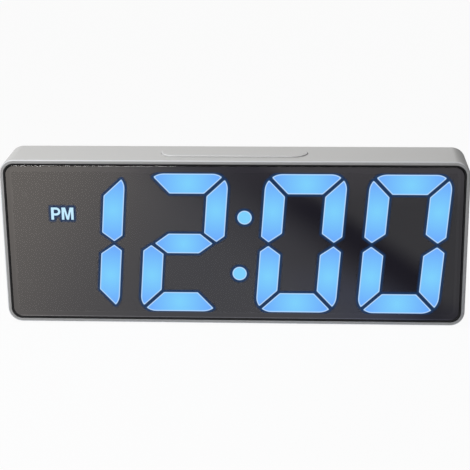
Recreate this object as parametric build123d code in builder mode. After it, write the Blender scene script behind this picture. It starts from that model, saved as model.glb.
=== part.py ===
from build123d import *
import os
from math import asin, cos, degrees, radians, sin, sqrt, tan

os.makedirs("parts", exist_ok=True)

# A mirror-faced LED desk clock. X runs to the right along the face, the face looks along -Y,
# Z is up, and the clock stands on its pads with the origin under the middle of its box.
# Depths are measured from the front of the rim towards the back.

# Overall form
face_width = 160.0
face_height = 59.1
overall_depth = 35.0
band_depth = 19.4
face_corner = 5.0
front_round = 0.6
band_round = 0.3
pad_proud = 0.7
cover_step = 1.65

# Shared clearances
overrun = 1.0
slide_gap = 0.25
seat_gap = 0.1
float_gap = 0.3
screw_slack = 0.05

# Front shell
shell_wall = 1.8
rim_width = 1.28
ledge_width = 1.25
ledge_thickness = 1.5

# Mirror lens and the gasket round it
lens_gap = 0.5
lens_recess = 0.1
lens_thickness = 1.8
lens_chamfer = 0.3
gasket_thickness = 0.2
gasket_recess = 0.2
gasket_slack = 0.06

# Display: four leaning digits, a colon and one small window
display_left_room = 13.13
display_right_room = 7.37
display_drop = 0.65
digit_margin = 4.35
digit_gap = 7.47
colon_gap = 12.55
digit_slant = 4.45
segment_width = 7.2
segment_gap = 1.2
digit_corner = 5.7
mitre_angle = 45.0
right_angle = 90.0
waist_corner_inset = 8.5
waist_tip_inset = 3.95
fork_inset = 2.75
fork_half = 0.6
fork_mouth = 2.7
fork_root = 3.85
dot_diameter = 5.05
dot_spacing = 20.45
dot_drop = 0.67
dot_slant = 5.25
window_width = 9.0
window_height = 5.6
window_corner = 0.8
window_shift = 6.54
diffuser_thickness = 0.9
diffuser_gap = 0.05
well_taper = 14.0

# Reflector block and display board
reflector_gap = 0.4
reflector_recess = 0.1
reflector_thickness = 6.0
board_thickness = 1.6
board_gap = 0.75
board_side_gap = 1.2
led_length = 2.0
led_width = 1.25
led_height = 0.8

# Screw posts between the digits and at the left end
post_diameter = 4.4
post_inset = 4.95
post_notch_gap = 0.4
end_post_rise = 16.0
pilot_diameter = 2.2
pilot_depth = 4.6
board_hole_diameter = 2.9
screw_core_diameter = 2.1
screw_head_diameter = 4.4
screw_head_height = 1.6
screw_recess_diameter = 1.4

# Back cover
cover_inset = 0.5
cover_wall = 1.8
cover_round = 2.5
lip_length = 1.6
lip_wall = 1.0
tube_diameter = 6.6
tube_bore = 5.0
tube_floor = 2.2

# Battery bay and cells, laid on the sloping back
cell_diameter = 10.5
cell_length = 44.5
cell_pitch = 10.9
cell_nub_diameter = 3.8
cell_nub_length = 0.8
cell_edge = 0.5
cell_count = 3
bay_wall = 1.2
bay_end_room = 2.6
bay_top_room = 2.2
bay_side_room = 0.3
bay_low_share = 0.28
contact_thickness = 0.4
contact_width = 8.0
contact_crown = 1.0
ridge_height = 2.5
ridge_base = 4.4
ridge_top = 1.0

# Battery door
door_thickness = 1.6
door_ledge = 0.9
door_grip_count = 5
door_grip_pitch = 2.2
door_grip_width = 0.9
door_grip_length = 14.0
door_grip_depth = 0.5
door_grip_drop = 7.5
tab_width = 6.0
tab_thickness = 1.05
tab_reach = 1.75
tab_root = 2.6
tab_heel_share = 0.5
tab_spacing = 30.0
tab_swing_room = 2.8
hinge_round_share = 0.49
latch_width = 9.0
latch_thickness = 0.8
latch_drop = 2.6
latch_spread = 1.0
thumb_width = 12.0
thumb_reach = 3.0
thumb_depth = 0.7

# Push buttons on the back, their switches and board
button_length = 9.0
button_width = 5.0
button_proud = 0.8
button_edge = 0.3
button_travel = 0.5
button_pitch = 18.0
button_gap_share = 0.235
recess_length = 92.0
recess_height = 9.4
recess_depth = 0.4
recess_corner = 2.5
button_flange = 0.8
button_flange_width = 0.7
button_stem_diameter = 3.2
button_stem_length = 0.5
plunger_diameter = 3.4
plunger_length = 2.1
switch_side = 6.0
switch_height = 3.5
switch_neck = 0.9
button_board_length = 86.0
button_board_height = 7.6
button_board_thickness = 1.2
button_post_spacing = 54.0
button_post_diameter = 4.2
button_screw_core = 1.7
button_screw_head = 3.4
button_screw_head_height = 1.2
button_screw_grip = 3.5

# Snooze bar in the top
snooze_length = 50.4
snooze_width = 10.6
snooze_depth = 10.3
snooze_proud = 0.45
snooze_edge = 0.35
snooze_thickness = 1.95
snooze_travel = 0.6
snooze_flange = 0.8
snooze_flange_width = 0.7
snooze_stem_length = 4.0
snooze_stem_width = 2.4
snooze_stem_height = 1.15
snooze_switch_length = 6.2
snooze_switch_depth = 4.0
snooze_switch_height = 3.6
snooze_plunger_length = 2.8
snooze_plunger_width = 1.8
snooze_plunger_height = 1.9
snooze_plunger_proud = 1.0

# Electronics on the back of the display board, set in from its ends
chip_length = 12.8
chip_width = 7.5
chip_height = 1.4
chip_edge = 0.28
chip_inset = 40.0
chip_rise = -2.0
driver_length = 8.7
driver_width = 5.2
driver_pitch = 10.4
driver_inset = 22.0
driver_rise = 11.0
crystal_length = 8.0
crystal_diameter = 3.0
crystal_rise = 12.0
capacitor_diameter = 6.3
capacitor_height = 6.8
capacitor_edge = 0.4
capacitor_pitch = 9.4
capacitor_inset = 16.0
capacitor_rise = -12.0
buzzer_diameter = 14.0
buzzer_height = 6.5
buzzer_hole = 2.0
buzzer_hole_depth = 2.2
buzzer_inset = 22.0
buzzer_rise = -6.0
sound_hole_diameter = 1.5
sound_hole_pitch = 3.2
sound_hole_count = 6

# Power inlet at the lower back
inlet_height = -17.0
inlet_width = 7.5
inlet_thickness = 2.6
inlet_length = 5.6
inlet_corner = 0.65
inlet_wall = 0.3
inlet_recess = 0.4
inlet_window_gap = 0.35
inlet_tongue_width = 3.8
inlet_tongue_thickness = 0.7
power_board_length = 16.0
power_board_depth = 12.0
power_board_thickness = 1.2
power_rib_thickness = 1.4
power_rib_height = 5.0

# Flat cable inside
ribbon_width = 10.0
ribbon_thickness = 0.4
ribbon_rise = 11.5
ribbon_x = 9.0
ribbon_lead_share = 0.42
ribbon_bend_share = 0.4

# Rubber pads under the clock
pad_length = 14.0
pad_width = 6.0
pad_pocket = 0.4
pad_corner = 2.0
pad_edge = 0.3
pad_inset = 18.0
front_pad_depth = 8.0
rear_pad_depth = 27.5

# Places worked out from the sizes above
front_y = -overall_depth / 2
face_z = pad_proud + face_height / 2
top_z = pad_proud + face_height
lens_width = face_width - 2 * (rim_width + lens_gap)
lens_height = face_height - 2 * (rim_width + lens_gap)
lens_corner = face_corner - rim_width - lens_gap / 2
pocket_width = face_width - 2 * rim_width
pocket_height = face_height - 2 * rim_width
pocket_corner = face_corner - rim_width
opening_width = face_width - 2 * (shell_wall + ledge_width)
opening_height = face_height - 2 * (shell_wall + ledge_width)
opening_corner = face_corner - shell_wall - ledge_width
lens_back = lens_recess + lens_thickness
ledge_front = lens_back + gasket_thickness
ledge_back = ledge_front + ledge_thickness
reflector_front = ledge_front + reflector_recess
board_front = reflector_front + reflector_thickness
board_back = board_front + board_thickness
board_height = face_height - 2 * (shell_wall + board_gap)
board_width = face_width - 2 * (shell_wall + board_side_gap)
cover_width = face_width - 2 * cover_inset
cover_height = face_height - 2 * cover_inset
cover_corner = face_corner - cover_inset
tilt_rise = (overall_depth - band_depth - cover_step) / cover_height
tilt_cos = 1 / sqrt(1 + tilt_rise**2)
tilt_sin = tilt_rise * tilt_cos
cover_foot_depth = overall_depth + cover_round * (tilt_rise + 1 / tilt_cos - 1)
cover_middle_depth = cover_foot_depth - cover_height / 2 * tilt_rise


def face_plane(depth):
    """Plane parallel to the face at a depth, X to the right and Y up as seen from the front."""
    return Plane(origin=(0, front_y + depth, face_z), x_dir=(1, 0, 0), z_dir=(0, -1, 0))


def level_plane(depth, height):
    """Level plane at a height, with its origin on the middle line at a depth."""
    return Plane(origin=(0, front_y + depth, height), x_dir=(1, 0, 0), z_dir=(0, 0, 1))


# Sloping back: Z points out of it, Y runs up it and X runs along world -X
back_face = Plane(
    origin=(0, front_y + cover_middle_depth, face_z), x_dir=(-1, 0, 0), z_dir=(0, tilt_cos, tilt_sin)
)


def back_point(across, up, out):
    """Point given along, up and out of the sloping back, as a place in the clock's frame."""
    return back_face.from_local_coords(Vector(across, up, out))


# Display outlines, drawn upright about a digit's centre and then leant over
display_room = face_width - display_left_room - display_right_room - 2 * digit_gap - colon_gap
display_x = (display_left_room - display_right_room) / 2
half_digit = display_room / 4 / 2
half_tall = face_height / 2 - digit_margin
corner_x = half_digit - digit_corner
corner_z = half_tall - digit_corner
mitre_shift = segment_gap / sqrt(2)
mitre_spread = degrees(asin(segment_gap / 2 / digit_corner))
side_middle = (fork_root + half_tall - segment_width) / 2
inner_digit = colon_gap / 2 + half_digit
outer_digit = inner_digit + 2 * half_digit + digit_gap
digit_places = [display_x + shift for shift in (-outer_digit, -inner_digit, inner_digit, outer_digit)]
segment_sides = {
    "a": (1, 1), "b": (1, 1), "c": (1, -1), "d": (1, -1), "e": (-1, -1), "f": (-1, 1), "g": (1, 1)
}
fitted_segments = ["abcdeg", "abcdefg", "abcdefg", "abcdefg"]
lit_segments_shown = ["bc", "abged", "abcdef", "abcdef"]


def leaning(across, up, centre=0.0, slant=digit_slant):
    """Move an upright display point over by the lean of the digits, or by another one."""
    return (centre + across + up * tan(radians(slant)), up - display_drop)


def corner_point(angle):
    """Point on the rounded outer corner of an upright digit."""
    return (
        corner_x + digit_corner * cos(radians(angle)),
        corner_z + digit_corner * sin(radians(angle)),
    )


def draw_segment(letter, centre):
    """Draw one of the seven segments of the digit at a centre."""
    across, up = segment_sides[letter]

    def place(point, side=1):
        return leaning(side * across * point[0], up * point[1], centre)

    if letter == "g":
        tip = half_digit - waist_tip_inset
        corner = half_digit - waist_corner_inset
        with BuildLine() as outline:
            Polyline(
                leaning(tip, 0, centre),
                leaning(corner, segment_width / 2, centre),
                leaning(-corner, segment_width / 2, centre),
                leaning(-tip, 0, centre),
                leaning(-corner, -segment_width / 2, centre),
                leaning(corner, -segment_width / 2, centre),
                close=True,
            )
    elif letter in "ad":
        tip_angle = mitre_angle + mitre_spread
        tip = corner_point(tip_angle)
        middle = corner_point((tip_angle + right_angle) / 2)
        flat = corner_point(right_angle)
        inner = (half_digit - segment_width - mitre_shift, half_tall - segment_width)
        with BuildLine() as outline:
            ThreePointArc(place(tip), place(middle), place(flat))
            Line(place(flat), place(flat, -1))
            ThreePointArc(place(flat, -1), place(middle, -1), place(tip, -1))
            Polyline(place(tip, -1), place(inner, -1), place(inner), place(tip))
    else:
        tip_angle = mitre_angle - mitre_spread
        tip = corner_point(tip_angle)
        middle = corner_point(tip_angle / 2)
        flat = corner_point(0)
        inner = (half_digit - segment_width, half_tall - segment_width - mitre_shift)
        with BuildLine() as outline:
            ThreePointArc(place(tip), place(middle), place(flat))
            Polyline(
                place(flat),
                place((half_digit, fork_mouth)),
                place((half_digit - fork_inset, fork_half)),
                place((half_digit - segment_width, fork_root)),
                place(inner),
                place(tip),
            )
    make_face(outline.edges())


def segment_centre(letter, centre):
    """Middle of a segment, where its light sits."""
    across, up = segment_sides[letter]
    if letter == "g":
        return leaning(0, 0, centre)
    if letter in "ad":
        return leaning(0, up * (half_tall - segment_width / 2), centre)
    return leaning(across * (half_digit - segment_width / 2), up * side_middle, centre)


dot_places = [leaning(0, side * dot_spacing / 2 - dot_drop, display_x, dot_slant) for side in (1, -1)]
window_place = (digit_places[0] - window_shift, (half_tall - segment_width / 2) / 2 - display_drop)
post_rise = face_height / 2 - post_inset
post_places = [
    (leaning((digit_places[first] + digit_places[first + 1]) / 2, side * post_rise)[0], side * post_rise)
    for first in (0, 2)
    for side in (1, -1)
]
wall_inside = face_width / 2 - shell_wall
end_post_x = (digit_places[0] - half_digit - wall_inside) / 2
end_post_reach = end_post_x + wall_inside
end_post_places = [(end_post_x, side * end_post_rise) for side in (1, -1)]
button_names = ["alarm", "set", "mode", "down", "up"]
plunger_top = cover_wall + seat_gap + button_flange + button_stem_length
switch_top = plunger_top + switch_neck
button_board_top = switch_top + switch_height
switch_bore_depth = plunger_length - switch_neck + button_travel + float_gap
chip_x = chip_inset - face_width / 2
driver_x = face_width / 2 - driver_inset
capacitor_x = face_width / 2 - capacitor_inset
buzzer_x = buzzer_inset - face_width / 2
pad_x = face_width / 2 - pad_inset
snooze_under = top_z + snooze_proud - snooze_thickness
snooze_flange_top = top_z - shell_wall - seat_gap
snooze_foot = snooze_flange_top - snooze_flange
snooze_plunger_top = snooze_foot - snooze_stem_height
snooze_switch_top = snooze_plunger_top - snooze_plunger_proud
snooze_switch_middle = board_back + snooze_switch_depth / 2
bay_length = cell_length + 2 * bay_end_room
bay_height = cell_diameter + (cell_count - 1) * cell_pitch + bay_side_room + bay_top_room
bay_depth = cell_diameter + 2 * seat_gap + bay_side_room
hole_width = bay_length + 2 * door_ledge
hole_height = bay_height + 2 * door_ledge
slope_half = cover_height / 2 / tilt_cos
slope_spare = 2 * slope_half - hole_height - button_width - 2 * slide_gap
bay_low_edge = slope_spare * bay_low_share + door_ledge - slope_half
bay_middle = bay_low_edge + bay_height / 2
button_height = bay_middle + hole_height / 2 + slope_spare * button_gap_share + slide_gap + button_width / 2
button_places = [((2 - index) * button_pitch, button_height) for index in range(len(button_names))]
button_posts = [(side * button_post_spacing / 2, button_height) for side in (-1, 1)]
cell_out = -(cover_wall + bay_side_room + seat_gap + cell_diameter / 2)
cell_rows = [
    bay_low_edge + bay_side_room + cell_diameter / 2 + index * cell_pitch for index in range(cell_count)
]
door_width = hole_width - 2 * slide_gap
door_height = hole_height - 2 * slide_gap
door_low_edge = bay_middle - door_height / 2
door_high_edge = bay_middle + door_height / 2
hinge_up = door_low_edge + door_thickness / 2
tab_top = -(cover_wall + seat_gap + slide_gap / 2)
tab_heel = tab_root * tab_heel_share
latch_room = door_ledge + float_gap + latch_thickness
latch_outside = bay_middle + bay_height / 2 - float_gap
latch_inside = latch_outside - 2 * latch_thickness - latch_spread
latch_foot = -(door_thickness + latch_drop)
latch_outline = [
    (latch_inside, -door_thickness / 2),
    (latch_inside, latch_foot),
    (latch_outside, latch_foot),
    (latch_outside, -cover_wall + slide_gap),
    (door_high_edge, -cover_wall + slide_gap),
    (door_high_edge, 0),
    (latch_outside - latch_thickness, 0),
    (latch_outside - latch_thickness, latch_foot + latch_thickness),
    (latch_inside + latch_thickness, latch_foot + latch_thickness),
    (latch_inside + latch_thickness, -door_thickness / 2),
]
contact_reach = bay_end_room - seat_gap
contact_half = contact_width / 2
contact_outline = [
    (0, contact_half),
    (contact_reach, contact_crown),
    (contact_reach, -contact_crown),
    (0, -contact_half),
    (0, 2 * contact_thickness - contact_half),
    (contact_reach - contact_thickness, contact_thickness / 2 - contact_crown),
    (contact_reach - contact_thickness, contact_crown - contact_thickness / 2),
    (0, contact_half - 2 * contact_thickness),
]
ridge_outline = [
    (side * half, height)
    for side, half, height in (
        (-1, ridge_base / 2, -overrun / 2),
        (-1, ridge_top / 2, ridge_height),
        (1, ridge_top / 2, ridge_height),
        (1, ridge_base / 2, -overrun / 2),
    )
]
cover_bottom = pad_proud + cover_inset
lip_width = face_width - 2 * (shell_wall + seat_gap)
lip_height = face_height - 2 * (shell_wall + seat_gap)
lip_corner = face_corner - shell_wall - seat_gap
inlet_x = (
    post_places[-1][0] + tube_diameter / 2 + float_gap + power_rib_thickness + power_board_length / 2
)
power_board_up = inlet_height - inlet_thickness / 2 - power_board_thickness / 2
power_board_setback = 2 * seat_gap
snooze_bore_depth = snooze_plunger_height - snooze_plunger_proud + snooze_travel + float_gap
snooze_flange_front = board_back + 2 * float_gap - snooze_depth
ribbon_start = (front_y + board_back, face_z + ribbon_rise)
ribbon_end = back_point(0, button_height, -(button_board_top + button_board_thickness))
ribbon_lead = (ribbon_end.Y - ribbon_start[0]) * ribbon_lead_share
ribbon_turn = back_point(0, button_height, -(button_board_top + button_board_thickness + ribbon_lead))
ribbon_route = [
    ribbon_start,
    (ribbon_start[0] + ribbon_lead, ribbon_start[1]),
    (ribbon_turn.Y, ribbon_turn.Z),
    (ribbon_end.Y, ribbon_end.Z),
]


def wedge(inset):
    """Back cover's outer form, or the hollow inside it, drawn in by a wall."""
    with BuildPart() as form:
        with BuildSketch(face_plane(band_depth)):
            RectangleRounded(cover_width - 2 * inset, cover_height - 2 * inset, cover_corner - inset)
        extrude(amount=-overall_depth)
        split(bisect_by=back_face.offset(-inset), keep=Keep.BOTTOM)
        fillet(form.faces().filter_by(back_face).edges(), cover_round - inset)
    return form.part


cover_outside = wedge(0)
cover_hollow = wedge(cover_wall)

# Front shell: rim, lens pocket, ledge, four walls, posts for the boards and the slot on top
with BuildPart() as front_shell:
    with BuildSketch(face_plane(0)):
        RectangleRounded(face_width, face_height, face_corner)
    extrude(amount=-band_depth)
    fillet(front_shell.faces().sort_by(Axis.Y)[0].edges(), front_round)
    fillet(front_shell.faces().sort_by(Axis.Y)[-1].edges(), band_round)
    with BuildSketch(face_plane(0)):
        RectangleRounded(pocket_width, pocket_height, pocket_corner)
    extrude(amount=-ledge_front, mode=Mode.SUBTRACT)
    with BuildSketch(face_plane(ledge_front)):
        RectangleRounded(opening_width, opening_height, opening_corner)
    extrude(amount=-(ledge_thickness + overrun), mode=Mode.SUBTRACT)
    with BuildSketch(face_plane(ledge_back)):
        RectangleRounded(
            face_width - 2 * shell_wall, face_height - 2 * shell_wall, face_corner - shell_wall
        )
    extrude(amount=-band_depth, mode=Mode.SUBTRACT)
    for across, up in post_places:
        side = 1 if up > 0 else -1
        web = face_height / 2 - shell_wall / 2 - post_rise
        with BuildSketch(face_plane(ledge_front)):
            with Locations((across, up)):
                Circle(post_diameter / 2)
            with Locations((across, up + side * web / 2)):
                Rectangle(post_diameter, web)
        extrude(amount=-(board_front - ledge_front))
    for across, up in end_post_places:
        web = end_post_reach + shell_wall / 2
        with BuildSketch(face_plane(ledge_back)):
            with Locations((across, up)):
                Circle(post_diameter / 2)
            with Locations((across - web / 2, up)):
                Rectangle(web, post_diameter / 2)
        extrude(amount=-(board_front - ledge_back))
    with BuildSketch(face_plane(board_front)):
        with Locations(*post_places, *end_post_places):
            Circle(pilot_diameter / 2)
    extrude(amount=pilot_depth, mode=Mode.SUBTRACT)
    with BuildSketch(level_plane(snooze_depth, top_z)):
        SlotOverall(snooze_length + 2 * slide_gap, snooze_width + 2 * slide_gap)
    extrude(amount=-(shell_wall + overrun), mode=Mode.SUBTRACT)
    for side in (-1, 1):
        with BuildSketch(Plane(origin=(side * pad_x, front_y + front_pad_depth, pad_proud))):
            RectangleRounded(pad_length + 2 * seat_gap, pad_width + 2 * seat_gap, pad_corner)
        extrude(amount=pad_pocket, mode=Mode.SUBTRACT)
front_shell.part.label = "front_shell"
export_step(front_shell.part, "parts/front_shell.step")

# Mirror lens: a flat half-mirror plate with a bright chamfered edge
with BuildPart() as mirror_lens:
    with BuildSketch(face_plane(lens_recess)):
        RectangleRounded(lens_width, lens_height, lens_corner)
    extrude(amount=-lens_thickness)
    chamfer(mirror_lens.faces().sort_by(Axis.Y)[0].edges(), lens_chamfer)
mirror_lens.part.label = "mirror_lens"
export_step(mirror_lens.part, "parts/mirror_lens.step")

# Black gasket: its foot beds the lens on the ledge and its lip fills the gap round the lens
with BuildPart() as lens_gasket:
    with BuildSketch(face_plane(gasket_recess)):
        RectangleRounded(
            pocket_width - 2 * gasket_slack, pocket_height - 2 * gasket_slack, pocket_corner - gasket_slack
        )
    extrude(amount=-(ledge_front - gasket_recess))
    with BuildSketch(face_plane(gasket_recess)):
        RectangleRounded(
            lens_width + 2 * gasket_slack, lens_height + 2 * gasket_slack, lens_corner + gasket_slack
        )
    extrude(amount=-(lens_back - gasket_recess), mode=Mode.SUBTRACT)
    with BuildSketch(face_plane(lens_back)):
        RectangleRounded(opening_width, opening_height, opening_corner)
    extrude(amount=-gasket_thickness, mode=Mode.SUBTRACT)
lens_gasket.part.label = "lens_gasket"
export_step(lens_gasket.part, "parts/lens_gasket.step")

# Reflector: one moulded block with a tapering well behind every segment
with BuildPart() as display_reflector:
    with BuildSketch(face_plane(reflector_front)):
        RectangleRounded(
            opening_width - 2 * reflector_gap, opening_height - 2 * reflector_gap, opening_corner
        )
    extrude(amount=-reflector_thickness)
    with BuildSketch(face_plane(reflector_front)):
        for fitted, centre in zip(fitted_segments, digit_places):
            for letter in fitted:
                draw_segment(letter, centre)
        with Locations(*dot_places):
            Circle(dot_diameter / 2)
        with Locations(window_place):
            RectangleRounded(window_width, window_height, window_corner)
    extrude(amount=-diffuser_thickness, mode=Mode.SUBTRACT)
    with BuildSketch(face_plane(reflector_front + diffuser_thickness)):
        for fitted, centre in zip(fitted_segments, digit_places):
            for letter in fitted:
                draw_segment(letter, centre)
        with Locations(*dot_places):
            Circle(dot_diameter / 2)
        with Locations(window_place):
            RectangleRounded(window_width, window_height, window_corner)
    extrude(amount=-(reflector_thickness - diffuser_thickness), taper=well_taper, mode=Mode.SUBTRACT)
    notch_depth = post_inset - shell_wall - ledge_width - reflector_gap
    notch = post_diameter + 2 * post_notch_gap
    with BuildSketch(face_plane(reflector_front)):
        for across, up in post_places:
            side = 1 if up > 0 else -1
            with Locations((across, up)):
                Circle(notch / 2)
            with Locations((across, up + side * (notch_depth + overrun) / 2)):
                Rectangle(notch, notch_depth + overrun)
        with Locations(*end_post_places):
            Circle(notch / 2)
        with Locations(*[(across - end_post_reach / 2, up) for across, up in end_post_places]):
            Rectangle(end_post_reach, notch / 2)
    extrude(amount=-reflector_thickness, mode=Mode.SUBTRACT)
display_reflector.part.label = "display_reflector"
export_step(display_reflector.part, "parts/display_reflector.step")

# Milky inserts in the wells: those that light at twelve o'clock, and those that stay dark
with BuildPart() as lit_segments:
    with BuildSketch(face_plane(reflector_front)):
        for shown, centre in zip(lit_segments_shown, digit_places):
            for letter in shown:
                draw_segment(letter, centre)
        offset(amount=-diffuser_gap)
    extrude(amount=-(diffuser_thickness - diffuser_gap))
lit_segments.part.label = "lit_segments"
export_step(lit_segments.part, "parts/lit_segments.step")

with BuildPart() as dark_segments:
    with BuildSketch(face_plane(reflector_front)):
        for fitted, shown, centre in zip(fitted_segments, lit_segments_shown, digit_places):
            for letter in fitted:
                if letter not in shown:
                    draw_segment(letter, centre)
        offset(amount=-diffuser_gap)
    extrude(amount=-(diffuser_thickness - diffuser_gap))
dark_segments.part.label = "dark_segments"
export_step(dark_segments.part, "parts/dark_segments.step")

with BuildPart() as colon_dots:
    with BuildSketch(face_plane(reflector_front)):
        with Locations(*dot_places):
            Circle(dot_diameter / 2 - diffuser_gap)
    extrude(amount=-(diffuser_thickness - diffuser_gap))
colon_dots.part.label = "colon_dots"
export_step(colon_dots.part, "parts/colon_dots.step")

with BuildPart() as indicator_window:
    with BuildSketch(face_plane(reflector_front)):
        with Locations(window_place):
            RectangleRounded(
                window_width - 2 * diffuser_gap, window_height - 2 * diffuser_gap, window_corner
            )
    extrude(amount=-(diffuser_thickness - diffuser_gap))
indicator_window.part.label = "indicator_window"
export_step(indicator_window.part, "parts/indicator_window.step")

# Display board, which also carries the clock's electronics
with BuildPart() as display_board:
    with BuildSketch(face_plane(board_front)):
        Rectangle(board_width, board_height)
        with Locations(*post_places, *end_post_places):
            Circle(board_hole_diameter / 2, mode=Mode.SUBTRACT)
    extrude(amount=-board_thickness)
display_board.part.label = "display_board"
export_step(display_board.part, "parts/display_board.step")

# One light behind every segment, dot and window
with BuildPart() as segment_leds:
    led_places = [
        segment_centre(letter, centre)
        for fitted, centre in zip(fitted_segments, digit_places)
        for letter in fitted
    ]
    with BuildSketch(face_plane(board_front)):
        with Locations(*led_places, *dot_places, window_place):
            Rectangle(led_width, led_length)
    extrude(amount=led_height)
segment_leds.part.label = "segment_leds"
export_step(segment_leds.part, "parts/segment_leds.step")

# Chips, crystal, capacitors and sounder on the back of the display board
with BuildPart() as controller_chip:
    with BuildSketch(face_plane(board_back)):
        with Locations((chip_x, chip_rise)):
            Rectangle(chip_width, chip_length)
    extrude(amount=-chip_height)
    chamfer(controller_chip.faces().sort_by(Axis.Y)[-1].edges(), chip_edge)
controller_chip.part.label = "controller_chip"
export_step(controller_chip.part, "parts/controller_chip.step")

with BuildPart() as driver_chips:
    with BuildSketch(face_plane(board_back)):
        with Locations((driver_x, driver_rise), (driver_x, driver_rise - driver_pitch)):
            Rectangle(driver_length, driver_width)
    extrude(amount=-chip_height)
driver_chips.part.label = "driver_chips"
export_step(driver_chips.part, "parts/driver_chips.step")

with BuildPart() as clock_crystal:
    with BuildSketch(Plane.YZ.offset(chip_x - crystal_length / 2)):
        with Locations((front_y + board_back + crystal_diameter / 2, face_z + crystal_rise)):
            Circle(crystal_diameter / 2)
    extrude(amount=crystal_length)
clock_crystal.part.label = "clock_crystal"
export_step(clock_crystal.part, "parts/clock_crystal.step")

with BuildPart() as capacitors:
    with BuildSketch(face_plane(board_back)):
        with Locations((capacitor_x, capacitor_rise), (capacitor_x - capacitor_pitch, capacitor_rise)):
            Circle(capacitor_diameter / 2)
    extrude(amount=-capacitor_height)
    chamfer(capacitors.faces().group_by(Axis.Y)[-1].edges(), capacitor_edge)
capacitors.part.label = "capacitors"
export_step(capacitors.part, "parts/capacitors.step")

with BuildPart() as buzzer:
    with BuildSketch(face_plane(board_back)):
        with Locations((buzzer_x, buzzer_rise)):
            Circle(buzzer_diameter / 2)
    extrude(amount=-buzzer_height)
    with BuildSketch(face_plane(board_back + buzzer_height)):
        with Locations((buzzer_x, buzzer_rise)):
            Circle(buzzer_hole / 2)
    extrude(amount=buzzer_hole_depth, mode=Mode.SUBTRACT)
buzzer.part.label = "buzzer"
export_step(buzzer.part, "parts/buzzer.step")

# Everything the back cover may fill: its own form and the space ahead of it inside the shell
with BuildPart() as cover_reach:
    add(cover_outside)
    with BuildSketch(face_plane(board_back)):
        RectangleRounded(
            face_width - 2 * (shell_wall + slide_gap),
            face_height - 2 * (shell_wall + slide_gap),
            face_corner - shell_wall - slide_gap,
        )
    extrude(amount=-(band_depth - board_back))

with BuildPart() as cover_skin:
    add(cover_outside)
    add(cover_hollow, mode=Mode.SUBTRACT)

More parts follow.
